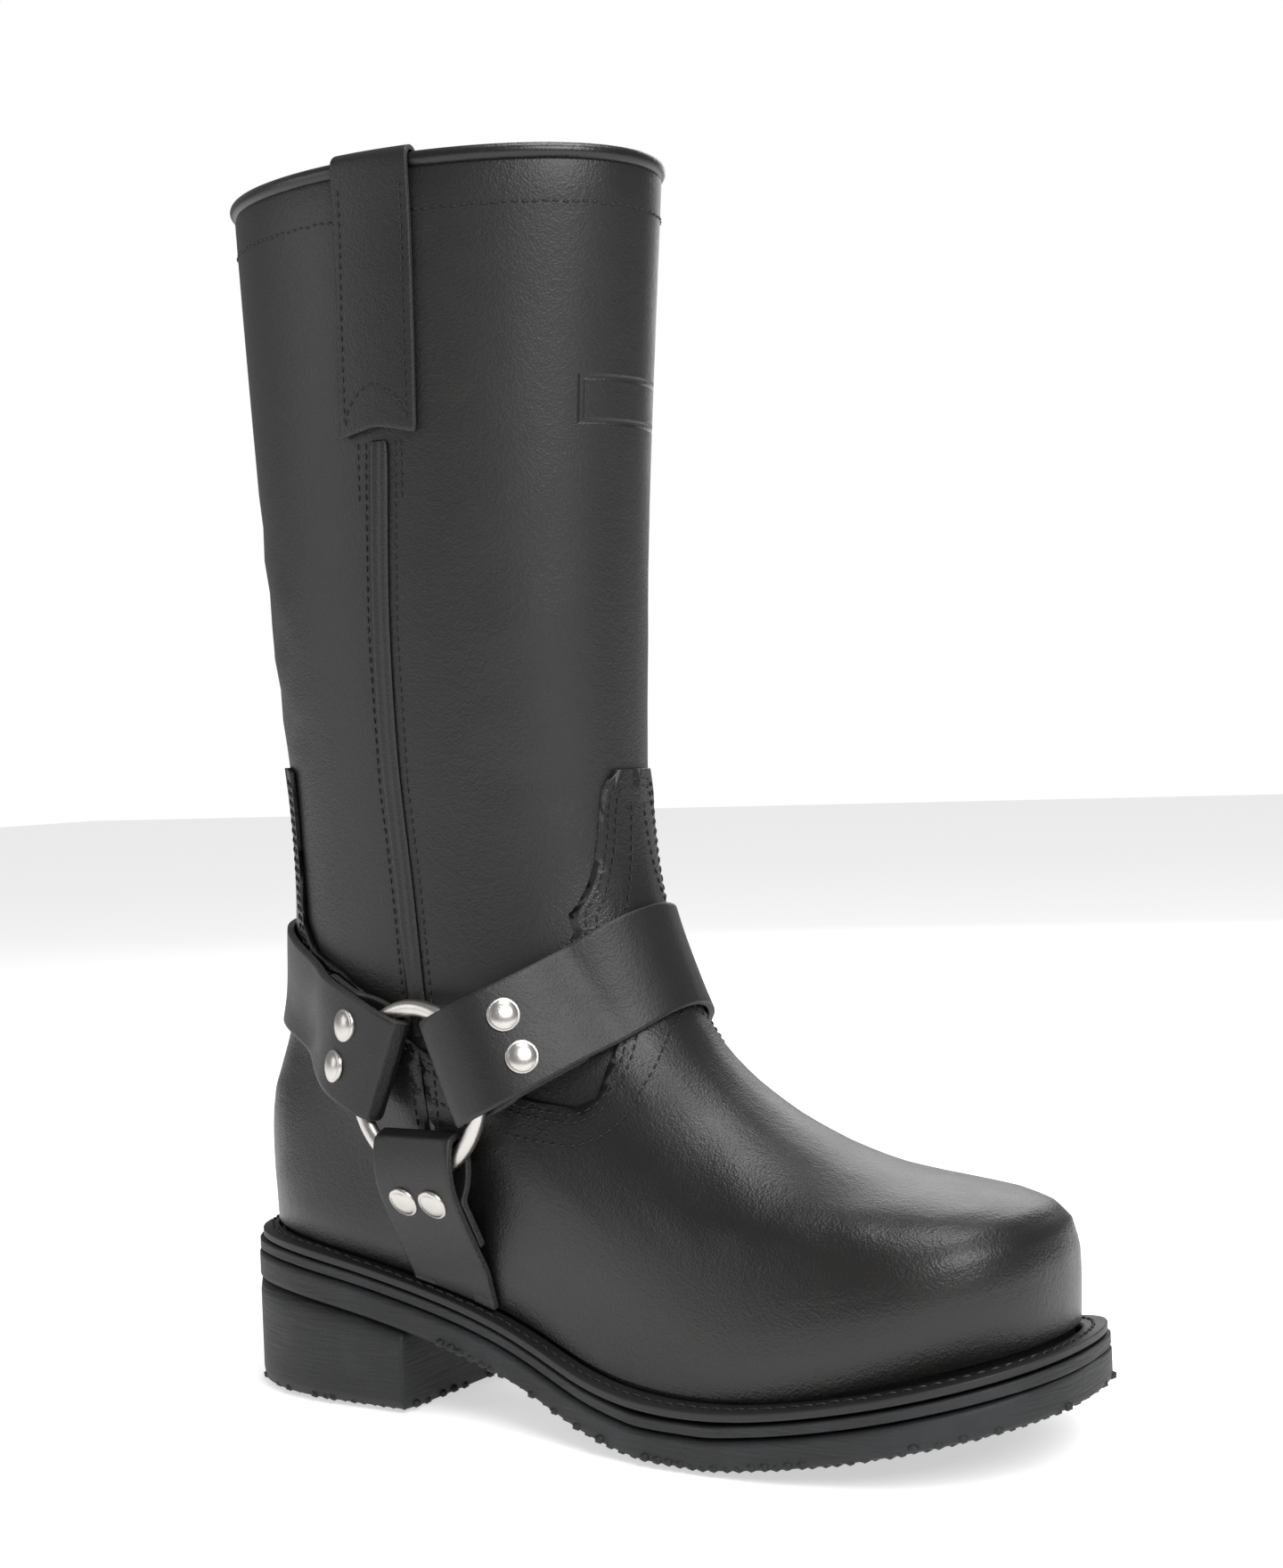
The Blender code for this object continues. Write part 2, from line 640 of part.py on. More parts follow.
def make_pull(side, leather):
    """Pull strap at the side seam, folded over the collar and down inside it."""
    bend = PIPING_RADIUS + 2 * GAP + PULL / 2
    lift = 2 * GAP + PULL / 2
    rows = []
    lanes = np.array([-0.5, -0.25, 0.0, 0.25, 0.5]) * PULL_WIDTH
    for z in np.linspace(PULL_END, SHAFT_HEIGHT - 0.012, 6):
        notch = PULL_NOTCH * (1 - np.abs(lanes) / lanes[-1]) * (z == PULL_END)
        rows.append([seat_at(seam_x(z) + d, z + up, side, lift)[0] for d, up in zip(lanes, notch)])
    tops = []
    for d in lanes:
        spot, normal = seat_at(seam_x(SHAFT_HEIGHT) + d, SHAFT_HEIGHT, side)
        level = normal * (1, 1, 0) / np.linalg.norm(normal[:2])
        tops.append((spot - level * WALL / 2 + (0, 0, GAP + PIPING_RADIUS), level))
    for turn in np.linspace(0, pi, 6):
        rows.append([at + bend * (cos(turn) * out + np.array([0, 0, sin(turn)])) for at, out in tops])
    for z in np.linspace(SHAFT_HEIGHT - 0.012, SHAFT_HEIGHT + PIPING_RADIUS - PULL_INSIDE, 4):
        rows.append([seat_at(seam_x(z) + d, z, side, -WALL - lift)[0] for d in lanes])
    thick("pull_strap_outer" if side == OUTER else "pull_strap_inner", rows, PULL, leather)


# Harness

HARNESS_BASE = OVERLAY + 2 * GAP + STRAP_SLACK
WRAP = WIRE_RADIUS + 2 * GAP + STRAP / 2  # from the wire's middle to the middle of the leather round it
WEDGE = (0.0035, 0.0090)  # the folded tab rises to the outer layer between these, from the wire
DOUBLED = (WEDGE[1], 0.0155, TAB_LENGTH)  # rows of both layers, from the wire


def ring_frame(side):
    """Middle of the ring, its normal and its level and upright directions."""
    turn = radians(RING_TURN)
    normal = np.array([-sin(turn), side * cos(turn), 0.0])
    level = np.array([cos(turn), side * sin(turn), 0.0])
    return seat_at(RING_X, RING_Z, side)[0] + normal * RING_LIFT, normal, level, np.array([0.0, 0.0, 1.0])


def path_rise(length, path):
    """Height over the ring's middle along a side strap: an even slope that levels off at the end."""
    _, rise, reach, level = path
    past = np.clip(length - reach + level, 0, level)
    return rise * (min(length, reach) - past**2 / (2 * level)) / (reach - level / 2)


def march(side, heading, path):
    """Line on the skin from the ring's middle to the middle of the boot, with its length so far."""
    step = 0.002
    point, normal = seat_at(RING_X, RING_Z, side)
    way = np.array([heading, 0, 0.3])
    line, length = [point], [0.0]
    while point[1] * side > 0 and len(line) < 400:
        way = way - normal * (way @ normal)
        way /= np.linalg.norm(way)
        moved, normal = seat(point + way * step)
        moved[2] = RING_Z + path_rise(length[-1] + step, path)
        moved, normal = seat(moved)
        way, point = moved - point, moved
        line.append(point)
        length.append(length[-1] + np.linalg.norm(way))
    return np.array(line), np.array(length)


class Strap:
    """A harness strap from one ring to the middle of the boot: the places of its leather's middle."""

    def __init__(self, side, width, heading, path):
        self.side = side
        self.set_loop(width, heading * cos(radians(path[0])), sin(radians(path[0])))
        self.line, self.length = march(side, heading, path)

    def set_loop(self, width, ahead, upward):
        """The fold round the wire, whose inner edge is straight, with the wire's arc inside it."""
        self.middle, self.normal, level, upright = ring_frame(self.side)
        self.way = ahead * level + upward * upright
        self.across = np.sign(ahead) * (ahead * upright - upward * level)
        self.lanes = np.linspace(-0.5, 0.5, 5) * width
        self.fold = sqrt(RING_RADIUS**2 - (width / 2) ** 2) - RING_RADIUS - STRAP / 3

    def on_line(self, place):
        return np.array([np.interp(place, self.length, self.line[:, axis]) for axis in range(3)])

    def on_skin(self, beyond, across, lift):
        place = RING_RADIUS + beyond
        spot, normal = seat(self.on_line(place))
        upward = np.cross(normal, self.on_line(place + 0.003) - self.on_line(place - 0.003))
        upward *= np.sign(upward[2]) / np.linalg.norm(upward)
        return seat(seat(spot + upward * across)[0], lift)[0]

    def row(self, beyond, height, lift):
        """Row of points beyond the wire, at a height over its plane that gives way to a lift over the skin."""
        share = float(smooth(beyond / LANDING))
        row = []
        for lane in self.lanes:
            point = self.middle + (RING_RADIUS + beyond) * self.way + lane * self.across + height * self.normal
            if share:
                point = (1 - share) * point + share * self.on_skin(beyond, lane, lift)
            row.append(point)
        return row

    def over(self, beyond):
        dropped = float(smooth((beyond - TAB_LENGTH) / 0.007))
        return self.row(beyond, WRAP, HARNESS_BASE + STRAP / 2 + (STRAP + TAB_GAP) * (1 - dropped))

    def tab(self, beyond):
        closed = np.interp(beyond, WEDGE, (0, 1))
        return self.row(beyond, -WRAP + (2 * WRAP - STRAP - TAB_GAP) * closed, HARNESS_BASE + STRAP / 2)

    def end_rows(self):
        """From the end of the tab, under the wire, round it and back over the tab."""
        under = [self.tab(at) for at in (*reversed(DOUBLED), WEDGE[0])]
        turns = np.radians((-90, -45, 0, 45, 90))
        wrap = [self.row(self.fold - 1.2 * WRAP * cos(turn), WRAP * sin(turn), 0.0) for turn in turns]
        over = [self.over(at) for at in (0.002, *DOUBLED, TAB_LENGTH + 0.008)]
        return under + wrap + over

    def far_rows(self, count):
        start, stop = TAB_LENGTH + 0.008, self.length[-1] - RING_RADIUS
        return [self.over(at) for at in np.linspace(start, stop, count)[1:]]


class FootStrap(Strap):
    """The strap from the ring down to the welt."""

    def __init__(self, side, width):
        self.side = side
        lean = radians(FOOT_STRAP_LEAN)
        self.set_loop(width, sin(lean), -cos(lean))

    def lowest(self, across):
        welt_top = float(midsole_top(RING_X + across)) + WELT + WELT_RISE
        return RING_Z - RING_RADIUS - welt_top - 5 * GAP

    def on_skin(self, beyond, across, lift):
        z = RING_Z - RING_RADIUS - min(beyond, self.lowest(across))
        return seat_at(RING_X + across, z, self.side, lift)[0]

    def far_rows(self, count):
        start, lift = TAB_LENGTH + 0.008, HARNESS_BASE + STRAP / 2
        shares = np.linspace(0, 1, count)[1:]
        return [
            [self.on_skin(start + (self.lowest(a) - start) * share, a, lift) for a in self.lanes]
            for share in shares
        ]


def make_ring(side, steel):
    middle, normal, level, upright = ring_frame(side)
    turns = np.arange(TUBE_SIDES) * 2 * pi / TUBE_SIDES
    rings = []
    for step in range(24):
        turn = step * 2 * pi / 24
        out = cos(turn) * level + sin(turn) * upright
        at = middle + out * RING_RADIUS
        rings.append([at + WIRE_RADIUS * (cos(about) * out + sin(about) * normal) for about in turns])
    tube("ring_outer" if side == OUTER else "ring_inner", rings, steel)


def make_rivets(name, strap, beyond, spacing, steel):
    """Two domed rivets side by side through the strap's doubled end."""
    places = np.linspace(beyond - RIVET_RADIUS, beyond + RIVET_RADIUS, 5)
    rows = np.array([strap.over(place) for place in places])
    for number, across in enumerate((-spacing / 2, spacing / 2), 1):
        spots = np.array(
            [
                [[np.interp(across + d, strap.lanes, row[:, axis]) for axis in range(3)] for row in rows]
                for d in (-RIVET_RADIUS, 0, RIVET_RADIUS)
            ]
        )
        normal = np.cross(spots[1, 3] - spots[1, 2], spots[2, 2] - spots[0, 2])
        normal *= np.sign(normal[1] * spots[1, 2, 1]) / np.linalg.norm(normal)
        clear = ((spots - spots[1, 2]) @ normal).max() + STRAP / 2 + GAP
        profile = ((0, 0), (1, 0), (1, 0.3), (0.72, 0.82), (0, 1))
        mesh = bmesh.new()
        verts = [mesh.verts.new((a * RIVET_RADIUS, 0, b * RIVET_HEIGHT)) for a, b in profile]
        edges = [mesh.edges.new(pair) for pair in zip(verts, verts[1:])]
        bmesh.ops.spin(
            mesh, geom=verts + edges, cent=(0, 0, 0), axis=(0, 0, 1), angle=2 * pi, steps=8, use_merge=True
        )
        turned = Vector((0, 0, 1)).rotation_difference(Vector(normal)).to_matrix().to_4x4()
        place = Matrix.Translation(spots[1, 2] + normal * clear)
        bmesh.ops.transform(mesh, matrix=place @ turned, verts=mesh.verts)
        finish(f"{name}_{number}", mesh, steel)


def make_harness(leather, steel):
    ends = {}
    for side, label in ((OUTER, "outer"), (INNER, "inner")):
        make_ring(side, steel)
        ends["instep", side] = Strap(side, STRAP_WIDTH, 1, INSTEP_PATH)
        ends["heel", side] = Strap(side, STRAP_WIDTH, -1, HEEL_PATH)
        foot = FootStrap(side, FOOT_STRAP_WIDTH)
        thick(f"foot_strap_{label}", foot.end_rows() + foot.far_rows(4), STRAP, leather)
        make_rivets(f"rivet_instep_{label}", ends["instep", side], INSTEP_RIVET_AT, RIVET_SPACING, steel)
        make_rivets(f"rivet_heel_{label}", ends["heel", side], HEEL_RIVET_AT, RIVET_SPACING, steel)
        make_rivets(f"rivet_foot_{label}", foot, FOOT_RIVET_AT, FOOT_RIVET_SPACING, steel)
    for name, count in (("instep", 8), ("heel", 6)):
        rows = []
        for side in (OUTER, INNER):
            strap = ends[name, side]
            half = strap.end_rows() + strap.far_rows(count)
            rows = half if side == OUTER else rows + half[-2::-1]
        thick(f"{name}_strap", rows, STRAP, leather)


def centre_pieces():
    """Moves the whole boot so that the origin lies under the middle of its box."""
    bpy.context.view_layer.update()
    graph = bpy.context.evaluated_depsgraph_get()
    pieces = [item for item in bpy.context.scene.objects if item.type == "MESH"]
    solids = [item.evaluated_get(graph) for item in pieces if not item.hide_render]
    corners = np.array([corner for item in solids for corner in item.bound_box])
    middle = (corners.min(axis=0) + corners.max(axis=0)) / 2 * (1, 1, 0)
    for piece in pieces:
        piece.data.transform(Matrix.Translation(-middle))


def main():
    for old in list(bpy.data.objects):
        bpy.data.objects.remove(old, do_unlink=True)
    black = material("black_leather", (0.012, 0.012, 0.013), 0.42)
    sole_black = material("sole_rubber", (0.010, 0.010, 0.011), 0.62)
    make_sole(sole_black, black)
    make_insole(black)
    grid, normals = make_upper(black)
    make_overlays(grid, normals, black)
    make_piping(grid, normals, black)
    for side in (OUTER, INNER):
        make_seam(side, black)
        make_pull(side, black)
    make_harness(black, material("satin_nickel", (0.62, 0.60, 0.57), 0.30, 1.0))
    centre_pieces()


main()
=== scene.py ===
"""Looks of a black harness boot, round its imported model: leather, thread, rubber, nickel and a studio."""

import json
from math import cos, pi, radians, sin

import bmesh
import bpy
import numpy as np
from mathutils import Matrix, Vector
from mathutils.bvhtree import BVHTree
from mathutils.kdtree import KDTree

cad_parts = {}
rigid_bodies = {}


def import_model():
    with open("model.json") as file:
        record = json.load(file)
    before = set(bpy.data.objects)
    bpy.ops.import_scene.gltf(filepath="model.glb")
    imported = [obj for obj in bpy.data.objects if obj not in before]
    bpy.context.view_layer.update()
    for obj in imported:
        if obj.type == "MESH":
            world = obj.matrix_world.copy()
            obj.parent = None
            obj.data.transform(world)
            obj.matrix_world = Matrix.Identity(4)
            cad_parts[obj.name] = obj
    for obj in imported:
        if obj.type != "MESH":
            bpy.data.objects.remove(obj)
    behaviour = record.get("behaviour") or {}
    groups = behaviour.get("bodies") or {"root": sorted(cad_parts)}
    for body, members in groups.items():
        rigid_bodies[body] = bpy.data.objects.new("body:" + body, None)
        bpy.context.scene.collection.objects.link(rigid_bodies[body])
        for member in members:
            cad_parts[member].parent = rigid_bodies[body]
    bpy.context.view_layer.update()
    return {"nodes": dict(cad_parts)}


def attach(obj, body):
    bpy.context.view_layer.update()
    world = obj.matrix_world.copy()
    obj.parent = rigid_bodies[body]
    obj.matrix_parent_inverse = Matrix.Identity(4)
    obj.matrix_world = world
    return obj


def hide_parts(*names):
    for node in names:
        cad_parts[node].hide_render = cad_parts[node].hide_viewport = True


bl_info = {
    "name": "Harness boot",
    "version": (1, 0, 0),
    "blender": (4, 5, 0),
    "location": "3D View > Sidebar > Boot",
    "description": "Leather, thread, rubber and nickel for the packed harness boot",
    "category": "Object",
}

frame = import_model()
NODES = frame["nodes"]
SIDES = {"outer": -1, "inner": 1}  # the sign of Y on each side of a right boot


# Sizes and colours


class BootSizes(bpy.types.PropertyGroup):
    """Sizes of the boot's small detail."""

    stitch: bpy.props.FloatProperty(
        name="Stitch", description="Length of one stitch", default=0.0023, unit="LENGTH"
    )
    stitch_gap: bpy.props.FloatProperty(
        name="Stitch gap", description="Between two stitches", default=0.0009, unit="LENGTH"
    )
    thread: bpy.props.FloatProperty(
        name="Thread", description="Thickness of the thread", default=0.00075, unit="LENGTH"
    )
    welt_stitch: bpy.props.FloatProperty(
        name="Welt stitch", description="Length of a stitch in the welt", default=0.0036, unit="LENGTH"
    )
    margin: bpy.props.FloatProperty(
        name="Margin", description="From a cut edge to its first row", default=0.0026, unit="LENGTH"
    )
    row_gap: bpy.props.FloatProperty(
        name="Row gap", description="Between two rows of stitches", default=0.0024, unit="LENGTH"
    )
    nub: bpy.props.FloatProperty(
        name="Nub", description="Width of a nub of the tread", default=0.0040, unit="LENGTH"
    )
    crease: bpy.props.FloatProperty(
        name="Crease", description="Share of the creases' full depth", default=1.0, min=0.0, max=2.0
    )


class BootColours(bpy.types.PropertyGroup):
    """Colours of the boot's materials."""

    shaft: bpy.props.FloatVectorProperty(
        name="Shaft", description="Shaft leather", default=(0.0072, 0.0076, 0.0080), subtype="COLOR"
    )
    vamp: bpy.props.FloatVectorProperty(
        name="Vamp", description="Vamp and counter leather", default=(0.0056, 0.0055, 0.0055), subtype="COLOR"
    )
    strap: bpy.props.FloatVectorProperty(
        name="Strap", description="Harness leather", default=(0.0050, 0.0052, 0.0056), subtype="COLOR"
    )
    # The cut edge's colour is far lighter than the leather's: it is a painted highlight along the cut edges.
    edge: bpy.props.FloatVectorProperty(
        name="Cut edge", description="Cut edge of leather", default=(0.040, 0.040, 0.041), subtype="COLOR"
    )
    thread: bpy.props.FloatVectorProperty(
        name="Thread", description="Thread", default=(0.0035, 0.0035, 0.0037), subtype="COLOR"
    )
    rubber: bpy.props.FloatVectorProperty(
        name="Rubber", description="Sole and heel", default=(0.0075, 0.0082, 0.0092), subtype="COLOR"
    )
    nickel: bpy.props.FloatVectorProperty(
        name="Nickel", description="Ring and rivets", default=(0.56, 0.54, 0.51), subtype="COLOR"
    )
    lining: bpy.props.FloatVectorProperty(
        name="Lining", description="Lining of the shaft", default=(0.030, 0.028, 0.027), subtype="COLOR"
    )


# Shader maths


class Signal:
    """A shader socket's output that can be added, subtracted and multiplied like a number."""

    def __init__(self, recipe, socket):
        self.recipe, self.socket = recipe, socket

    def math(self, operation, *others):
        return self.recipe.add("ShaderNodeMath", {"operation": operation}, [self, *others])

    def __add__(self, other):
        return self.math("ADD", other)

    def __sub__(self, other):
        return self.math("SUBTRACT", other)

    def __rsub__(self, other):
        return self.recipe.add("ShaderNodeMath", {"operation": "SUBTRACT"}, [other, self])

    def __mul__(self, other):
        return self.math("MULTIPLY", other)

    __radd__, __rmul__ = __add__, __mul__


class Recipe:
    """A material in the making."""

    def __init__(self, name, colour, roughness, metallic=0.0, specular=0.5):
        self.material = bpy.data.materials.new(name)
        self.material.use_nodes = True
        self.tree = self.material.node_tree
        self.shader = self.tree.nodes["Principled BSDF"]
        self.set("Base Color", (*colour, 1))
        self.set("Roughness", roughness)
        self.set("Metallic", metallic)
        self.set("Specular IOR Level", specular)
        self.place = self.add("ShaderNodeTexCoord", {}, {}, "Object")

    def add(self, kind, settings, inputs, output=0):
        """A node with its settings and inputs. Returns one of its outputs."""
        node = self.tree.nodes.new(kind)
        for key, value in settings.items():
            setattr(node, key, value)
        pairs = inputs.items() if isinstance(inputs, dict) else enumerate(inputs)
        for key, value in pairs:
            if isinstance(value, Signal):
                self.tree.links.new(value.socket, node.inputs[key])
            else:
                node.inputs[key].default_value = value
        return Signal(self, node.outputs[output])

    def set(self, socket, value):
        if isinstance(value, Signal):
            self.tree.links.new(value.socket, self.shader.inputs[socket])
        else:
            self.shader.inputs[socket].default_value = value

    def noise(self, size, detail=2.0, rough=0.5, stretch=(1, 1, 1)):
        """Noise from 0 to 1 whose blotches are about this size in metres."""
        spot = self.add("ShaderNodeMapping", {}, {"Vector": self.place, "Scale": stretch})
        inputs = {"Vector": spot, "Scale": 1 / size, "Detail": detail, "Roughness": rough}
        return self.add("ShaderNodeTexNoise", {}, inputs)

    def cells(self, size, feature="F1"):
        inputs = {"Vector": self.place, "Scale": 1 / size, "Randomness": 1.0}
        return self.add("ShaderNodeTexVoronoi", {"feature": feature}, inputs)

    def between(self, value, low, high):
        """0 below low, 1 above high."""
        settings = {"interpolation_type": "SMOOTHSTEP"}
        return self.add("ShaderNodeMapRange", settings, {"Value": value, "From Min": low, "From Max": high})

    def mix(self, share, one, other):
        first, second = (item if isinstance(item, Signal) else (*item, 1) for item in (one, other))
        return self.add("ShaderNodeMix", {"data_type": "RGBA"}, {0: share, 6: first, 7: second}, 2)

    def axes(self):
        node = self.tree.nodes.new("ShaderNodeSeparateXYZ")
        self.tree.links.new(self.place.socket, node.inputs[0])
        return [Signal(self, output) for output in node.outputs]

    def bump(self, height, depth):
        """Relief of this depth in metres where height goes from 0 to 1."""
        normal = self.add("ShaderNodeBump", {}, {"Strength": 1.0, "Distance": depth, "Height": height})
        self.set("Normal", normal)
        return self.material


def known(name, make):
    """The material of this name, made the first time that it is asked for."""
    return bpy.data.materials.get(name) or make(name)


PANEL = (0.0, 0.3195, 0.0205, 0.0068)  # middle in Y and Z, half width and half height of the blank frame
PANEL_LINE = 0.0006


def leather(name, colour, roughness, grain=1.0, panel=False):
    recipe = Recipe(name, colour, roughness, specular=0.5)
    mottle, cloud = recipe.noise(0.012, 3.0), recipe.noise(0.060, 2.0)
    shade = recipe.between(cloud + mottle * 0.5, 0.45, 1.05)
    brown = [channel * share for channel, share in zip(colour, (1.32, 1.18, 1.06))]
    recipe.set("Base Color", recipe.mix(shade, colour, brown))
    pores = recipe.cells(0.00075)
    pebble = recipe.cells(0.0017, "SMOOTH_F1")
    fine = recipe.noise(0.0005, 2.0)
    recipe.set("Roughness", roughness + mottle * 0.10 + pores * 0.06 - 0.08)
    relief = pores * 0.35 * grain + pebble * 0.30 * grain + fine * 0.20
    relief = relief + mottle * 0.6 + recipe.noise(0.004) * 0.15
    if panel:
        across, up = recipe.axes()[1:]
        middle_y, middle_z, half_width, half_height = PANEL
        from_side = (across - middle_y).math("ABSOLUTE") - half_width
        from_end = (up - middle_z).math("ABSOLUTE") - half_height
        edge = from_side.math("MAXIMUM", from_end).math("ABSOLUTE")
        line = 1.0 - recipe.between(edge, PANEL_LINE * 0.5, PANEL_LINE * 2.0)
        ahead = recipe.between(recipe.axes()[0], -0.02, -0.005)
        relief = relief - line * ahead * 2.6
    return recipe.bump(relief, 0.00022)


def shaft_leather():
    colours = bpy.context.scene.boot_colours
    return known("shaft_leather", lambda name: leather(name, colours.shaft, 0.43, panel=True))


def vamp_leather():
    colours = bpy.context.scene.boot_colours
    return known("vamp_leather", lambda name: leather(name, colours.vamp, 0.38))


def strap_leather():
    colours = bpy.context.scene.boot_colours
    return known("strap_leather", lambda name: leather(name, colours.strap, 0.46, grain=0.7))


def piping_leather():
    colours = bpy.context.scene.boot_colours
    return known("piping_leather", lambda name: leather(name, colours.strap, 0.30, grain=0.5))


def welt_leather():
    colours = bpy.context.scene.boot_colours
    return known("welt_leather", lambda name: leather(name, colours.rubber, 0.55, grain=0.5))


def cut_edge_painted_highlight():
    def make(name):
        # Light grey cut walls with darker fibres: the lightness is a painted highlight on the edges, and the
        # fibres are the edge's own texture.
        colour = bpy.context.scene.boot_colours.edge
        recipe = Recipe(name, colour, 0.62)
        fibres = recipe.noise(0.0006, 3.0, 0.6)
        dark = [0.35 * channel for channel in colour]
        recipe.set("Base Color", recipe.mix(recipe.between(fibres, 0.35, 0.65), dark, colour))
        return recipe.bump(fibres, 0.0002)

    return known("cut_edge_painted_highlight", make)


def thread():
    def make(name):
        recipe = Recipe(name, bpy.context.scene.boot_colours.thread, 0.50)
        return recipe.bump(recipe.noise(0.00025, 1.0), 0.00006)

    return known("thread", make)


def lining():
    def make(name):
        recipe = Recipe(name, bpy.context.scene.boot_colours.lining, 0.85)
        recipe.set("Sheen Weight", 0.15)
        weave = recipe.noise(0.0007, 1.0, 0.5, (1, 1, 3)) + recipe.noise(0.0007, 1.0, 0.5, (3, 3, 1))
        return recipe.bump(weave, 0.0002)

    return known("lining", make)


def rubber():
    def make(name):
        colour = bpy.context.scene.boot_colours.rubber
        recipe = Recipe(name, colour, 0.62)
        dust = recipe.between(recipe.noise(0.020, 4.0), 0.45, 0.75)
        dusty = [2.0 * channel + 0.004 for channel in colour]
        recipe.set("Base Color", recipe.mix(dust * 0.6, colour, dusty))
        ribs = recipe.noise(0.0016, 2.0, 0.5, (0.12, 0.12, 1.6))
        recipe.set("Roughness", 0.56 + ribs * 0.12)
        relief = ribs * 0.8 + recipe.noise(0.0011, 3.0, 0.6) * 0.5
        return recipe.bump(relief, 0.0004)

    return known("rubber", make)


def nickel():
    def make(name):
        recipe = Recipe(name, bpy.context.scene.boot_colours.nickel, 0.27, metallic=1.0)
        brushed = recipe.noise(0.0006, 2.0, 0.6, (1, 1, 0.15))
        worn = recipe.noise(0.006, 3.0)
        recipe.set("Roughness", 0.20 + brushed * 0.10 + worn * 0.10)
        return recipe.bump(brushed + worn, 0.00004)

    return known("nickel", make)


# Meshes


def merged(node):
    """A CAD node's mesh with its triangles joined up again."""
    mesh = bmesh.new()
    mesh.from_mesh(NODES[node].data)
    bmesh.ops.remove_doubles(mesh, verts=mesh.verts, dist=2e-6)
    bmesh.ops.join_triangles(
        mesh, faces=mesh.faces[:], angle_face_threshold=radians(35), angle_shape_threshold=radians(80)
    )
    return mesh


def crease_sharp(mesh, angle=40):
    """Keeps the edges sharper than this through subdivision."""
    layer = mesh.edges.layers.float.get("crease_edge") or mesh.edges.layers.float.new("crease_edge")
    for edge in mesh.edges:
        if len(edge.link_faces) == 2 and edge.calc_face_angle(0.0) > radians(angle):
            edge[layer] = 0.85


def placed(name, mesh, materials, replaced=(), levels=0, smooth_angle=50):
    """Makes the piece, that rides on the boot and takes the place of CAD nodes."""
    data = bpy.data.meshes.new(name)
    mesh.to_mesh(data)
    mesh.free()
    piece = bpy.data.objects.new(name, data)
    bpy.context.scene.collection.objects.link(piece)
    for item in materials:
        data.materials.append(item)
    data.shade_smooth()
    if levels:
        modifier = piece.modifiers.new("Smooth", "SUBSURF")
        modifier.levels = modifier.render_levels = levels
    elif smooth_angle:
        data.set_sharp_from_angle(angle=radians(smooth_angle))
    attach(piece, "root")
    if replaced:
        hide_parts(*replaced)
    return piece


def world_mesh(piece):
    """Points and faces of a piece as it is shown."""
    evaluated = piece.evaluated_get(bpy.context.evaluated_depsgraph_get())
    mesh = evaluated.to_mesh()
    points = [vertex.co.copy() for vertex in mesh.vertices]
    faces = [tuple(face.vertices) for face in mesh.polygons]
    evaluated.to_mesh_clear()
    return points, faces


def tree_of(pieces):
    points, faces = [], []
    for piece in pieces:
        more, around = world_mesh(piece)
        faces += [tuple(index + len(points) for index in face) for face in around]
        points += more
    return BVHTree.FromPolygons(points, faces)


# Creases of the leather, in the side view and up the front

CREASES = (
    # side, start x, start z, end x, end z, depth, width
    (-1, -0.126, 0.268, -0.098, 0.238, 0.0008, 0.0060),
    (-1, -0.122, 0.235, -0.094, 0.215, 0.0007, 0.0055),
    (-1, -0.128, 0.292, -0.100, 0.276, 0.0005, 0.0070),
    (-1, -0.030, 0.262, 0.000, 0.276, 0.0006, 0.0075),
    (-1, -0.036, 0.240, -0.006, 0.232, 0.0005, 0.0060),
    (-1, -0.028, 0.205, -0.002, 0.196, 0.0006, 0.0065),
    (1, -0.120, 0.262, -0.088, 0.236, 0.0008, 0.0060),
    (1, -0.034, 0.250, -0.004, 0.262, 0.0007, 0.0070),
    (1, -0.040, 0.214, -0.010, 0.204, 0.0007, 0.0065),
    (1, 0.020, 0.095, 0.045, 0.070, 0.0005, 0.0060),
    (1, -0.110, 0.330, -0.080, 0.318, 0.0005, 0.0080),
    (-1, 0.034, 0.090, 0.055, 0.066, 0.0004, 0.0060),
)
SIDE_FADE = 0.015  # a crease has its full depth this far from the boot's middle plane
SWELLS = (
    # side, x, z, height, radius along and up
    (-1, -0.012, 0.245, 0.0009, 0.022, 0.040),
    (-1, -0.105, 0.252, 0.0008, 0.016, 0.030),
    (1, -0.015, 0.236, 0.0009, 0.022, 0.036),
    (-1, 0.010, 0.330, -0.0007, 0.020, 0.030),
)


def crease_height(point):
    """How far the leather stands out from, or in under, its plain form at a point."""
    total = 0.0
    for side, x1, z1, x2, z2, depth, width in CREASES:
        weight = min(max(side * point[1] / SIDE_FADE, 0.0), 1.0)
        if not weight:
            continue
        length = (x2 - x1) ** 2 + (z2 - z1) ** 2
        share = min(max(((point[0] - x1) * (x2 - x1) + (point[2] - z1) * (z2 - z1)) / length, 0.0), 1.0)
        gap = ((point[0] - x1 - share * (x2 - x1)) ** 2 + (point[2] - z1 - share * (z2 - z1)) ** 2) ** 0.5
        reach = gap / width
        if reach < 3:
            ridge = 0.55 * np.exp(-((reach - 1.5) ** 2) * 1.6)
            valley = np.exp(-reach * reach * 1.4)
            fade = 0.35 + 2.6 * share * (1 - share)
            total += weight * depth * (ridge - valley) * fade
    for side, x, z, height, along, up in SWELLS:
        weight = min(max(side * point[1] / SIDE_FADE, 0.0), 1.0)
        reach = ((point[0] - x) / along) ** 2 + ((point[2] - z) / up) ** 2
        if weight and reach < 9:
            total += weight * height * np.exp(-reach)
    return total * bpy.context.scene.boot_sizes.crease


NEIGHBOURS = 6  # points of the form whose shifts are blended


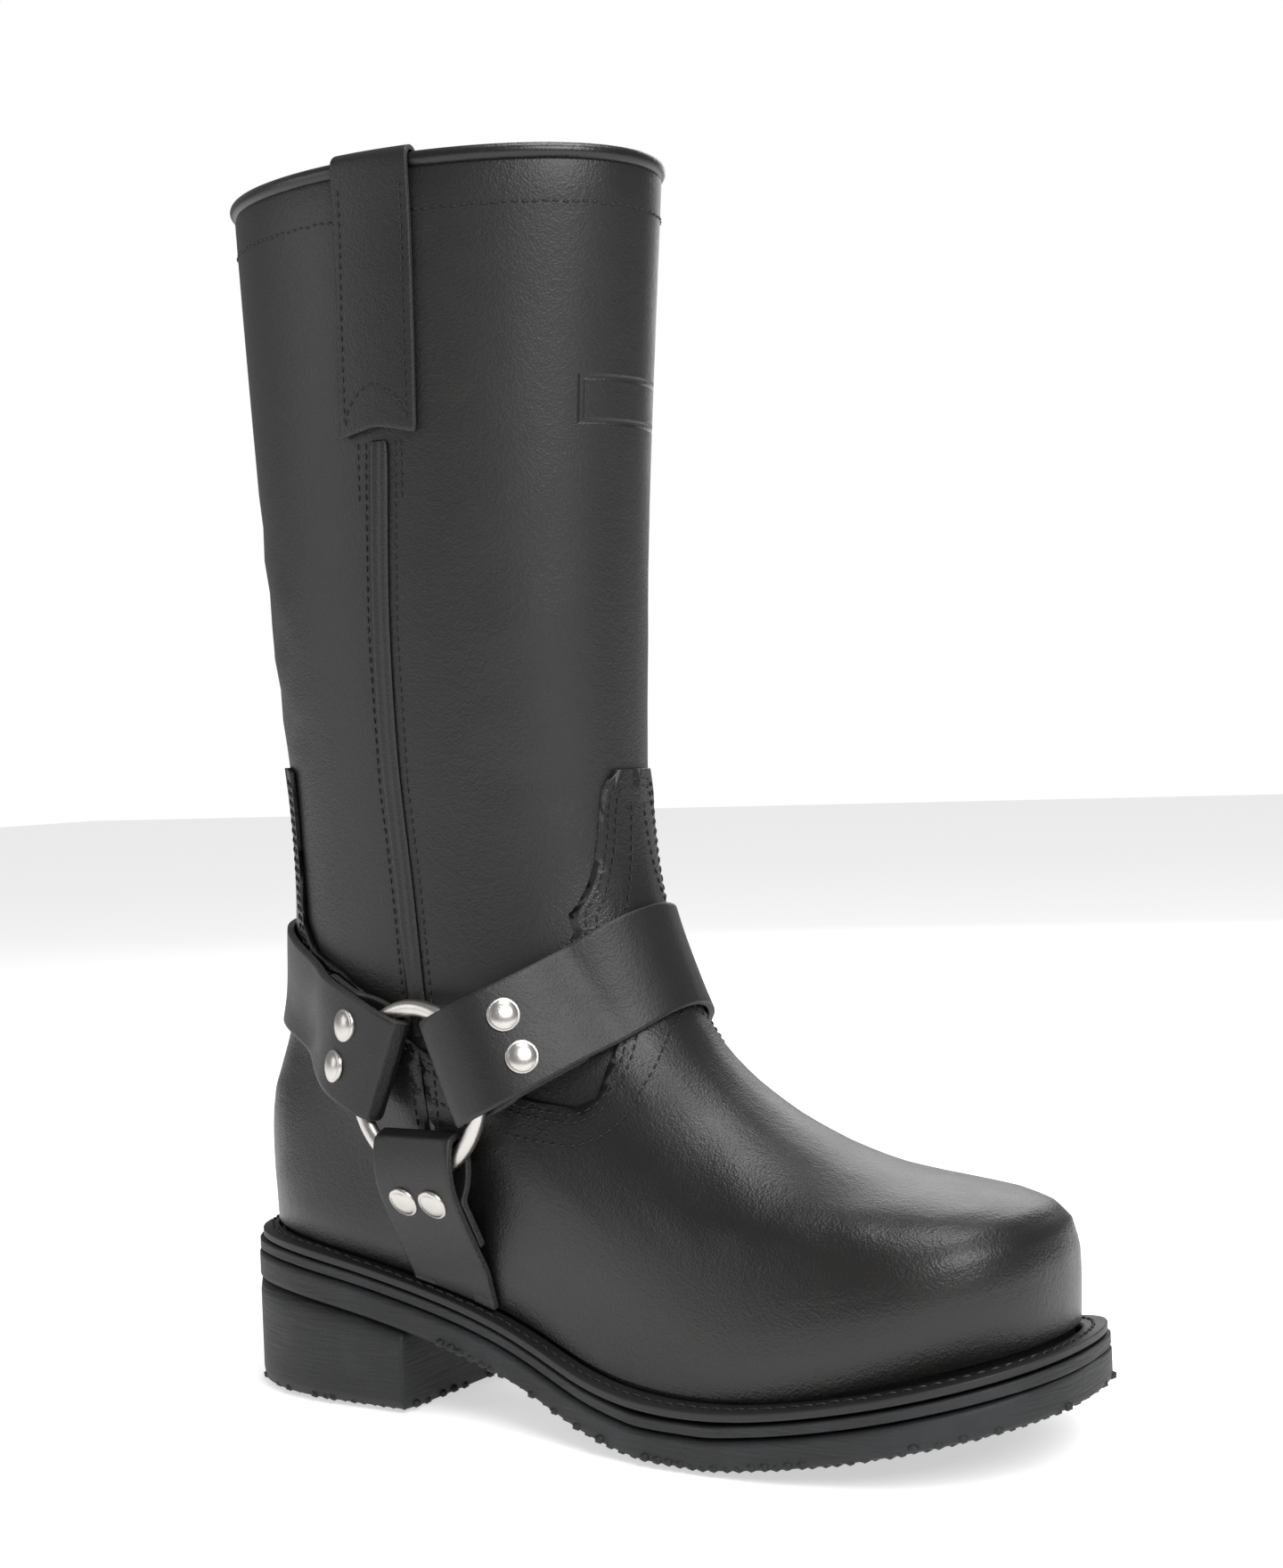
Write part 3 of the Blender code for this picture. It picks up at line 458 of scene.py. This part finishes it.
class Form:
    """How the leather's smooth, creased form departs from the CAD's facets."""

    def __init__(self):
        mesh = merged("upper")
        crease_sharp(mesh)
        data = bpy.data.meshes.new("form")
        mesh.to_mesh(data)
        mesh.free()
        helper = bpy.data.objects.new("form", data)
        bpy.context.scene.collection.objects.link(helper)
        modifier = helper.modifiers.new("Smooth", "SUBSURF")
        modifier.levels = modifier.render_levels = 2
        found = {}
        for kind in ("SIMPLE", "CATMULL_CLARK"):
            modifier.subdivision_type = kind
            bpy.context.view_layer.update()
            evaluated = helper.evaluated_get(bpy.context.evaluated_depsgraph_get())
            shown = evaluated.to_mesh()
            found[kind] = [vertex.co.copy() for vertex in shown.vertices]
            if kind == "CATMULL_CLARK":
                self.normals = [vertex.normal.copy() for vertex in shown.vertices]
                self.faces = [tuple(face.vertices) for face in shown.polygons]
            evaluated.to_mesh_clear()
        bpy.data.objects.remove(helper)
        self.flat, self.round = found["SIMPLE"], found["CATMULL_CLARK"]
        self.tree = KDTree(len(self.flat))
        for index, point in enumerate(self.flat):
            self.tree.insert(point, index)
        self.tree.balance()
        self.shift = []
        for index, point in enumerate(self.round):
            height = crease_height(point)
            self.shift.append(point - self.flat[index] + self.normals[index] * height)

    def at(self, point):
        """The shift of a point on or near the facets."""
        total, weights = Vector(), 0.0
        for _, index, distance in self.tree.find_n(point, NEIGHBOURS):
            weight = 1 / (distance * distance + 1e-8)
            total += self.shift[index] * weight
            weights += weight
        return total / weights


def inside_faces(mesh, reach=0.12):
    """Faces of a hollow form that look at its own other wall close in front of them."""
    tree = BVHTree.FromBMesh(mesh)
    found = []
    for face in mesh.faces:
        middle = face.calc_center_median()
        hit = tree.ray_cast(middle + face.normal * 0.0005, face.normal, reach)[0]
        if hit is not None:
            found.append(face)
    return found


def mark_cut_edges(mesh, slot=1, thickness=0.004):
    """Gives the narrow faces between two sharp edges the cut edge's material, whose light colour is a painted
    highlight.
    """
    for face in mesh.faces:
        sharp = [edge for edge in face.edges if edge.calc_face_angle(0.0) > radians(45)]
        if len(sharp) >= 2 and any(edge.calc_length() < thickness for edge in face.edges):
            short = [edge for edge in face.edges if edge.calc_length() < thickness and edge not in sharp]
            if short:
                face.material_index = slot


# Stitches


def stitch_mesh(size, thickness):
    """One stitch lying along X, dipping into the leather at both ends."""
    mesh = bmesh.new()
    bmesh.ops.create_uvsphere(mesh, u_segments=6, v_segments=6, radius=0.5)
    bmesh.ops.rotate(mesh, verts=mesh.verts, matrix=Matrix.Rotation(pi / 2, 3, "Y"))
    bmesh.ops.scale(mesh, verts=mesh.verts, vec=(size, thickness, thickness))
    for vertex in mesh.verts:
        vertex.co.z -= 0.30 * thickness * (2 * vertex.co.x / size) ** 2
    return mesh


COLLAR_ROW = 0.0125  # under the top of the shaft's leather
SHAFT_TOP = 0.392
PIPING_SWELL = 0.0005  # subdivision draws the hexagon in by this much
PIPING_SEAT = 0.0007  # the shaft's edge reaches up to the piping


class Sewing:
    """Collects rows of stitches and makes one piece of them."""

    def __init__(self, name, tree):
        self.name, self.tree = name, tree
        self.mesh = bmesh.new()

    def row(self, line, normals, size=None, gap=None, thickness=None):
        """Stitches along a line of points that lie on the leather."""
        sizes = bpy.context.scene.boot_sizes
        size, gap, thickness = size or sizes.stitch, gap or sizes.stitch_gap, thickness or sizes.thread
        line, normals = np.array(line, float), np.array(normals, float)
        steps = np.linalg.norm(np.diff(line, axis=0), axis=1)
        length = np.concatenate([[0], np.cumsum(steps)])
        one = stitch_mesh(size, thickness)
        data = bpy.data.meshes.new("stitch")
        one.to_mesh(data)
        one.free()
        place = (size + gap) / 2
        while place < length[-1]:
            spot = [np.interp(place, length, line[:, axis]) for axis in range(3)]
            up = Vector([np.interp(place, length, normals[:, axis]) for axis in range(3)]).normalized()
            start = Vector([np.interp(place - size / 2, length, line[:, axis]) for axis in range(3)])
            end = Vector([np.interp(place + size / 2, length, line[:, axis]) for axis in range(3)])
            along = (end - start).normalized()
            across = up.cross(along).normalized()
            turned = Matrix((along, across, along.cross(across))).transposed().to_4x4()
            where = Matrix.Translation(Vector(spot) + up * thickness * 0.22) @ turned
            before = len(self.mesh.verts)
            self.mesh.from_mesh(data)
            self.mesh.verts.ensure_lookup_table()
            bmesh.ops.transform(self.mesh, matrix=where, verts=self.mesh.verts[before:])
            place += size + gap
        bpy.data.meshes.remove(data)

    def seen_from(self, points, direction, far=0.4, **sizes):
        """A row whose points are dropped onto the boot along a direction."""
        line, normals = [], []
        direction = Vector(direction).normalized()
        for point in resampled(points, 0.0015):
            start = Vector(point) - direction * far
            spot, normal, _, _ = self.tree.ray_cast(start, direction, 2 * far)
            if spot is not None:
                line.append(spot)
                normals.append(normal)
        if len(line) > 3:
            self.row(line, normals, **sizes)

    def finish(self):
        return placed(self.name, self.mesh, [thread()], smooth_angle=0)


def resampled(points, step):
    """Points at even steps along a line, rounded at its corners."""
    points = np.array(points, float)
    length = np.concatenate([[0], np.cumsum(np.linalg.norm(np.diff(points, axis=0), axis=1))])
    wanted = np.linspace(0, length[-1], max(int(length[-1] / step), 2))
    line = np.stack([np.interp(wanted, length, points[:, axis]) for axis in range(points.shape[1])], axis=1)
    for _ in range(3):
        line[1:-1] = (line[:-2] + 2 * line[1:-1] + line[2:]) / 4
    return line


def offset(points, distance):
    """A plane line moved to its left by a distance in metres."""
    line = resampled(points, 0.001)
    way = np.gradient(line, axis=0)
    way /= np.linalg.norm(way, axis=1)[:, None] + 1e-12
    return line + distance * np.stack([-way[:, 1], way[:, 0]], axis=1)


# Pieces

LONG_EDGE = 0.0036  # longer edges of the overlays are divided before they follow the form


class BOOT_OT_upper(bpy.types.Operator):
    """Smooth, creased leather for the shaft, the vamp and the counter"""

    bl_idname = "boot.upper"
    bl_label = "Upper"

    def execute(self, context):
        shift = Form()
        mesh = bmesh.new()
        points = [mesh.verts.new(point + shift.shift[index]) for index, point in enumerate(shift.flat)]
        for point in points:
            if point.co.z > SHAFT_TOP - 0.0005:
                point.co.z += PIPING_SEAT
        for face in shift.faces:
            mesh.faces.new([points[index] for index in face])
        mesh.normal_update()
        for face in inside_faces(mesh):
            face.material_index = 1
        materials = [shaft_leather(), lining()]
        placed("upper_leather", mesh, materials, ["upper"], smooth_angle=60)
        for node in ("vamp", "counter"):
            mesh = merged(node)
            mark_cut_edges(mesh)
            bmesh.ops.triangulate(mesh, faces=[face for face in mesh.faces if len(face.verts) > 4])
            long = [edge for edge in mesh.edges if edge.calc_length() > LONG_EDGE]
            bmesh.ops.subdivide_edges(mesh, edges=long, cuts=2, use_grid_fill=True)
            for vertex in mesh.verts:
                vertex.co += shift.at(vertex.co)
            materials = [vamp_leather(), cut_edge_painted_highlight()]
            placed(f"{node}_leather", mesh, materials, [node], smooth_angle=50)
        return {"FINISHED"}


class BOOT_OT_sole(bpy.types.Operator):
    """Rubber sole and heel, the welt and the insole"""

    bl_idname = "boot.sole"
    bl_label = "Sole"

    def execute(self, context):
        for node, make, slot, levels in (
            ("outsole", rubber, "sole_rubber", 3),
            ("midsole", rubber, "sole_rubber", 3),
            ("heel_block", rubber, "sole_rubber", 3),
            ("welt", welt_leather, "black_leather", 3),
            ("insole", lining, "black_leather", 2),
        ):
            mesh = merged(node)
            crease_sharp(mesh)
            placed(f"{node}_piece", mesh, [make()], [node], levels=levels)
        return {"FINISHED"}


class BOOT_OT_collar(bpy.types.Operator):
    """Round piping on the collar and the pull straps folded over it"""

    bl_idname = "boot.collar"
    bl_label = "Collar"

    def execute(self, context):
        mesh = merged("collar_piping")
        mesh.normal_update()
        swollen = [(vertex, vertex.co + vertex.normal * PIPING_SWELL) for vertex in mesh.verts]
        for vertex, place in swollen:
            vertex.co = place
        placed("piping", mesh, [piping_leather()], ["collar_piping"], levels=2)
        for side in SIDES:
            mesh = merged(f"pull_strap_{side}")
            mark_cut_edges(mesh)
            crease_sharp(mesh)
            materials = [shaft_leather(), cut_edge_painted_highlight()]
            placed(f"pull_{side}", mesh, materials, [f"pull_strap_{side}"], levels=3)
            mesh = merged(f"seam_{side}")
            placed(f"side_seam_{side}", mesh, [shaft_leather()], [f"seam_{side}"], levels=2)
        return {"FINISHED"}


RIVET_PROFILE = (
    # out, up, in millimetres
    (5.3, -0.5), (5.3, 0.25), (5.15, 0.55), (4.8, 0.72), (4.45, 0.66),
    (4.3, 0.80), (3.6, 1.25), (2.6, 1.62), (1.3, 1.84), (0.0, 1.90),
)
WIRE_SQUASH = 0.94  # the ring's wire is a little flatter than it is wide


class BOOT_OT_harness(bpy.types.Operator):
    """Straps, rings and rivets"""

    bl_idname = "boot.harness"
    bl_label = "Harness"

    def execute(self, context):
        straps = []
        for node in ("instep_strap", "heel_strap", "foot_strap_outer", "foot_strap_inner"):
            mesh = merged(node)
            mark_cut_edges(mesh)
            crease_sharp(mesh)
            materials = [strap_leather(), cut_edge_painted_highlight()]
            straps.append(placed(f"{node}_leather", mesh, materials, [node], levels=3))
        for side in SIDES:
            self.ring(side)
        tree = tree_of(straps)
        for node in sorted(NODES):
            if node.startswith("rivet_"):
                self.rivet(node, tree)
        return {"FINISHED"}

    def ring(self, side):
        points = np.array([vertex.co for vertex in NODES[f"ring_{side}"].data.vertices])
        points = np.unique(points.round(6), axis=0)
        middle = points.mean(axis=0)
        axes = np.linalg.svd(points - middle, full_matrices=False)[2]
        across = (points - middle) - np.outer((points - middle) @ axes[2], axes[2])
        radii = np.linalg.norm(across, axis=1)
        radius, wire = (radii.max() + radii.min()) / 2, (radii.max() - radii.min()) / 2
        mesh = bmesh.new()
        made = bmesh.ops.create_circle(mesh, segments=16, radius=wire)
        bmesh.ops.rotate(mesh, verts=made["verts"], matrix=Matrix.Rotation(pi / 2, 3, "X"))
        bmesh.ops.scale(mesh, verts=made["verts"], vec=(1, 1, WIRE_SQUASH))
        bmesh.ops.translate(mesh, verts=made["verts"], vec=(radius, 0, 0))
        bmesh.ops.spin(
            mesh, geom=mesh.verts[:] + mesh.edges[:], cent=(0, 0, 0), axis=(0, 0, 1),
            angle=2 * pi, steps=72, use_merge=True,
        )
        bmesh.ops.remove_doubles(mesh, verts=mesh.verts, dist=1e-6)
        bmesh.ops.recalc_face_normals(mesh, faces=mesh.faces)
        turned = Vector((0, 0, 1)).rotation_difference(Vector(axes[2])).to_matrix().to_4x4()
        bmesh.ops.transform(mesh, matrix=Matrix.Translation(middle) @ turned, verts=mesh.verts)
        placed(f"ring_{side}_nickel", mesh, [nickel()], [f"ring_{side}"])

    def rivet(self, node, tree):
        """A domed cap with a rolled rim, seated on its strap."""
        points = np.unique(np.array([vertex.co for vertex in NODES[node].data.vertices]).round(6), axis=0)
        middle = points.mean(axis=0)
        normal = Vector(np.linalg.svd(points - middle, full_matrices=False)[2][2])
        if normal.y * middle[1] < 0:
            normal = -normal
        spot = tree.ray_cast(Vector(middle) + normal * 0.01, -normal, 0.03)[0]
        mesh = bmesh.new()
        verts = [mesh.verts.new((out / 1000, 0, up / 1000)) for out, up in RIVET_PROFILE]
        edges = [mesh.edges.new(pair) for pair in zip(verts, verts[1:])]
        bmesh.ops.spin(
            mesh, geom=verts + edges, cent=(0, 0, 0), axis=(0, 0, 1), angle=2 * pi, steps=32, use_merge=True
        )
        bmesh.ops.remove_doubles(mesh, verts=mesh.verts, dist=1e-6)
        bmesh.ops.holes_fill(mesh, edges=[edge for edge in mesh.edges if edge.is_boundary], sides=64)
        bmesh.ops.recalc_face_normals(mesh, faces=mesh.faces)
        turned = Vector((0, 0, 1)).rotation_difference(normal).to_matrix().to_4x4()
        bmesh.ops.transform(mesh, matrix=Matrix.Translation(spot) @ turned, verts=mesh.verts)
        placed(f"{node}_nickel", mesh, [nickel()], [node], smooth_angle=60)


# Lines that the stitches follow, in the side view (x, z) and the front view (y, z)

SIDE_SEAM = (
    (-0.0525, 0.392), (-0.0555, 0.310), (-0.0597, 0.251),
    (-0.0603, 0.200), (-0.0576, 0.1607), (-0.0549, 0.118),
)
PULL_END = 0.310  # the seam's rows stop under the pull strap
SEAM_ROWS = (-0.0052, 0.0056)  # from the seam's middle
TACK_ROWS = (-0.0076, 0.0082)
ANKLE_ROWS = (-0.0046, 0.0046)
DECOR_GAP = 0.0068  # from the second row to the third, which is only for looks
PULL_ROW = 0.0113  # from the middle of the pull strap
VAMP_EDGE = (
    (-0.0543, 0.1170), (-0.0466, 0.1132), (-0.0352, 0.1075), (-0.0162, 0.1024), (-0.0009, 0.1005),
    (0.0060, 0.1036), (0.0092, 0.1144), (0.0092, 0.1265), (0.0029, 0.1392), (-0.0060, 0.1513),
)
TONGUE_EDGE = (
    (0.0285, 0.1460), (0.0252, 0.1540), (0.0256, 0.1596), (0.0228, 0.1639), (0.0203, 0.1685),
    (0.0180, 0.1751), (0.0163, 0.1820), (0.0149, 0.1919), (0.0140, 0.1970), (0.0122, 0.2005),
    (0.0096, 0.2028),
)
COUNTER_EDGE = (
    (-0.0545, 0.1190), (-0.0780, 0.1352), (-0.1020, 0.1470),
    (-0.1095, 0.1568), (-0.1116, 0.1803), (-0.1110, 0.2054),
)


class BOOT_OT_stitches(bpy.types.Operator):
    """Thread along the edges, the seams, the collar and the welt"""

    bl_idname = "boot.stitches"
    bl_label = "Stitches"

    def execute(self, context):
        self.sizes = context.scene.boot_sizes
        pieces = bpy.data.objects
        self.on_upper(tree_of([pieces["upper_leather"], pieces["vamp_leather"], pieces["counter_leather"]]))
        self.on_pulls(tree_of([pieces["pull_outer"], pieces["pull_inner"]]))
        self.on_welt(pieces["welt_piece"])
        return {"FINISHED"}

    def on_upper(self, tree):
        margin, gap = self.sizes.margin, self.sizes.row_gap
        rows = Sewing("upper_stitches", tree)
        for side in SIDES.values():
            toward = (0, -side, 0)
            for away in (margin * 0.75, margin * 0.75 + gap, margin * 0.75 + gap + DECOR_GAP):
                line = offset(VAMP_EDGE, -away)
                rows.seen_from([(x, 0, z) for x, z in line], toward)
            for away in (margin * 0.7, margin * 0.7 + gap * 0.9):
                line = offset(COUNTER_EDGE, away)
                rows.seen_from([(x, 0, z) for x, z in line], toward)
            for away in SEAM_ROWS:
                line = [(x + away, 0, z) for x, z in SIDE_SEAM if z <= PULL_END]
                rows.seen_from(line, toward)
            for away in TACK_ROWS:
                rows.seen_from([(-0.0562 + away, 0, PULL_END), (-0.0572 + away, 0, 0.291)], toward)
            for away in ANKLE_ROWS:
                rows.seen_from([(-0.0543 + away, 0, 0.112), (-0.0516 + away, 0, 0.070)], toward)
        whole = [(-y, z) for y, z in TONGUE_EDGE] + [(y, z) for y, z in reversed(TONGUE_EDGE)]
        for away in (margin * 0.8, margin * 0.8 + gap, margin * 0.8 + gap + DECOR_GAP):
            line = offset(whole, -away)
            rows.seen_from([(0, y, z) for y, z in line], (-1, 0, 0))
        around = np.linspace(0, 2 * pi, 900)
        line, normals = [], []
        for turn in around:
            out = Vector((cos(turn), sin(turn), 0))
            wave = 0.0002 * sin(turn * 37)
            start = Vector((-0.062, 0.0004, SHAFT_TOP - COLLAR_ROW + wave)) + out * 0.2
            spot, normal, _, _ = tree.ray_cast(start, -out, 0.2)
            line.append(spot)
            normals.append(normal)
        rows.row(line, normals)
        rows.finish()

    def on_pulls(self, tree):
        rows = Sewing("pull_stitches", tree)
        centre = ((-0.0525, 0.3885), (-0.0543, 0.350), (-0.0553, 0.3140))
        for side in SIDES.values():
            toward = (0, -side, 0)
            for away in (-PULL_ROW, PULL_ROW):
                rows.seen_from([(x + away, 0, z) for x, z in centre], toward)
            low = centre[-1][1] + 0.0005
            arch = [(-PULL_ROW, low), (-0.0098, low + 0.006), (-0.004, low + 0.0115), (0.0, low + 0.0132)]
            arch = arch + [(-x, z) for x, z in reversed(arch[:-1])]
            rows.seen_from([(x - 0.0552, 0, z) for x, z in arch], toward)
        rows.finish()

    def on_welt(self, welt):
        points = np.array(world_mesh(welt)[0])
        tree = tree_of([welt])
        line, normals = [], []
        for turn in np.linspace(0, 2 * pi, 720):
            ray = np.array([cos(turn), sin(turn)])
            ahead = points[:, :2] @ ray
            aside = np.abs(points[:, :2] @ np.array([-ray[1], ray[0]]))
            near = points[(ahead > 0.03) & (aside < 0.004)]
            if not len(near):
                continue
            out = near[:, :2] @ ray
            place = ray * (out.min() + 0.52 * (out.max() - out.min()))
            start = Vector((place[0], place[1], 0.2))
            spot, normal, _, _ = tree.ray_cast(start, Vector((0, 0, -1)), 0.3)
            if spot is not None:
                line.append(spot)
                normals.append(normal)
        rows = Sewing("welt_stitches", tree)
        rows.row(line, normals, size=self.sizes.welt_stitch, gap=0.0009, thickness=0.0011)
        rows.finish()


NUB_HEIGHT = 0.0030
NUB_SUNK = 0.0007  # the middle of a nub lies this far inside the rubber


class BOOT_OT_tread(bpy.types.Operator):
    """Nubs of the fine tread under the sole and the heel"""

    bl_idname = "boot.tread"
    bl_label = "Tread"

    def execute(self, context):
        pitch = context.scene.boot_sizes.nub
        tree = tree_of([bpy.data.objects["outsole_piece"], bpy.data.objects["heel_block_piece"]])
        one = bmesh.new()
        bmesh.ops.create_icosphere(one, subdivisions=1, radius=0.5)
        bmesh.ops.scale(one, verts=one.verts, vec=(pitch * 0.92, pitch * 0.92, NUB_HEIGHT))
        data = bpy.data.meshes.new("nub")
        one.to_mesh(data)
        one.free()
        mesh = bmesh.new()
        draw = np.random.default_rng(4)
        for row in range(-40, 41):
            for column in range(-18, 19):
                x = (row + 0.5 * (column % 2)) * pitch + draw.normal() * 0.0003
                y = column * pitch * 0.87 + draw.normal() * 0.0003
                spot, normal, _, _ = tree.ray_cast(Vector((x, y, -0.05)), Vector((0, 0, 1)), 0.12)
                if spot is None or normal.z > -0.5 or spot.z > 0.03:
                    continue
                before = len(mesh.verts)
                mesh.from_mesh(data)
                mesh.verts.ensure_lookup_table()
                turned = Matrix.Rotation(draw.uniform(0, 2 * pi), 4, "Z")
                where = Matrix.Translation(spot + Vector((0, 0, NUB_SUNK))) @ turned
                bmesh.ops.transform(mesh, matrix=where, verts=mesh.verts[before:])
        bpy.data.meshes.remove(data)
        placed("tread", mesh, [rubber()], smooth_angle=0)
        return {"FINISHED"}


# Stage

CAMERA_AT = (0.4193, -0.6748, 0.2128)
CAMERA_TURN, CAMERA_PITCH, CAMERA_ROLL = 31.5, 1.0, -2.25
PHOTO_PIXELS = (1440, 1760)
FOCAL_PIXELS = 2800.0
WORLD_LIGHT = 0.30
FLOOR_SIZE = 6.0
FLOOR_DROP = 0.0012  # for the nubs of the tread
FLOOR_GLOW = 0.55  # as a studio floor that is lit from below


class BOOT_OT_stage(bpy.types.Operator):
    """White floor, soft lights and the camera"""

    bl_idname = "boot.stage"
    bl_label = "Stage"

    def execute(self, context):
        scene = context.scene
        mesh = bmesh.new()
        bmesh.ops.create_grid(mesh, x_segments=1, y_segments=1, size=FLOOR_SIZE)
        bmesh.ops.translate(mesh, verts=mesh.verts, vec=(0, 0, -FLOOR_DROP))
        data = bpy.data.meshes.new("floor")
        mesh.to_mesh(data)
        mesh.free()
        floor = bpy.data.objects.new("floor", data)
        scene.collection.objects.link(floor)
        pale = Recipe("floor_white", (0.9, 0.9, 0.9), 0.9, specular=0.1)
        pale.set("Emission Color", (1, 1, 1, 1))
        pale.set("Emission Strength", FLOOR_GLOW)
        data.materials.append(pale.material)
        self.world(scene)
        # name, place, aimed at, size, watts
        lamps = (
            ("key", (1.15, -0.75, 1.15), (0.0, 0.0, 0.20), 0.9, 20.0),
            ("top", (0.25, 0.05, 1.60), (0.0, 0.0, 0.1), 0.7, 11.0),
            ("fill", (-1.5, -1.2, 0.7), (0.0, 0.0, 0.2), 1.0, 5.0),
            ("back", (-0.4, 1.5, 0.9), (0.0, 0.0, 0.2), 1.0, 8.0),
        )
        for name, place, aim, size, watts in lamps:
            lamp = bpy.data.lights.new(name, "AREA")
            lamp.shape, lamp.size, lamp.energy = "SQUARE", size, watts
            holder = bpy.data.objects.new(name, lamp)
            holder.location = place
            holder.rotation_euler = (Vector(aim) - Vector(place)).to_track_quat("-Z", "Y").to_euler()
            scene.collection.objects.link(holder)
        self.camera(scene)
        scene.view_settings.view_transform = "Standard"
        scene.view_settings.look = "None"
        return {"FINISHED"}

    def world(self, scene):
        world = bpy.data.worlds.new("studio")
        world.use_nodes = True
        tree = world.node_tree
        seen = tree.nodes["Background"]
        seen.inputs["Color"].default_value = (1, 1, 1, 1)
        ray = tree.nodes.new("ShaderNodeLightPath")
        strength = tree.nodes.new("ShaderNodeMapRange")
        strength.inputs["To Min"].default_value = WORLD_LIGHT
        strength.inputs["To Max"].default_value = 1.0
        tree.links.new(ray.outputs["Is Camera Ray"], strength.inputs["Value"])
        tree.links.new(strength.outputs["Result"], seen.inputs["Strength"])
        scene.world = world

    def camera(self, scene):
        turn, pitch, roll = (radians(value) for value in (CAMERA_TURN, CAMERA_PITCH, CAMERA_ROLL))
        level = Vector((cos(turn), sin(turn), 0))
        ahead = Vector((-sin(turn) * cos(pitch), cos(turn) * cos(pitch), -sin(pitch)))
        up = level.cross(ahead)
        right = level * cos(roll) + up * sin(roll)
        top = up * cos(roll) - level * sin(roll)
        lens = bpy.data.cameras.new("camera")
        lens.sensor_fit = "VERTICAL"
        lens.sensor_height = 36.0
        lens.lens = FOCAL_PIXELS / PHOTO_PIXELS[1] * 36.0
        lens.clip_start = 0.01
        holder = bpy.data.objects.new("camera", lens)
        turned = Matrix((right, top, -ahead)).transposed().to_4x4()
        holder.matrix_world = Matrix.Translation(CAMERA_AT) @ turned
        scene.collection.objects.link(holder)
        scene.camera = holder


OPERATORS = (
    BOOT_OT_upper, BOOT_OT_sole, BOOT_OT_collar, BOOT_OT_harness,
    BOOT_OT_stitches, BOOT_OT_tread, BOOT_OT_stage,
)


class BOOT_PT_panel(bpy.types.Panel):
    """The boot's operators, sizes and colours"""

    bl_idname = "BOOT_PT_panel"
    bl_label = "Harness boot"
    bl_space_type = "VIEW_3D"
    bl_region_type = "UI"
    bl_category = "Boot"

    def draw(self, context):
        for operator in OPERATORS:
            self.layout.operator(operator.bl_idname)
        for group in (context.scene.boot_sizes, context.scene.boot_colours):
            for key in group.__annotations__:
                self.layout.prop(group, key)


CLASSES = (BootSizes, BootColours, *OPERATORS, BOOT_PT_panel)


def register():
    for item in CLASSES:
        bpy.utils.register_class(item)
    bpy.types.Scene.boot_sizes = bpy.props.PointerProperty(type=BootSizes)
    bpy.types.Scene.boot_colours = bpy.props.PointerProperty(type=BootColours)


def unregister():
    del bpy.types.Scene.boot_colours
    del bpy.types.Scene.boot_sizes
    for item in reversed(CLASSES):
        bpy.utils.unregister_class(item)


def main():
    register()
    bpy.ops.boot.upper()
    bpy.ops.boot.sole()
    bpy.ops.boot.collar()
    bpy.ops.boot.harness()
    bpy.ops.boot.stitches()
    bpy.ops.boot.tread()
    bpy.ops.boot.stage()
    bpy.context.view_layer.update()


if __name__ == "__main__":
    main()
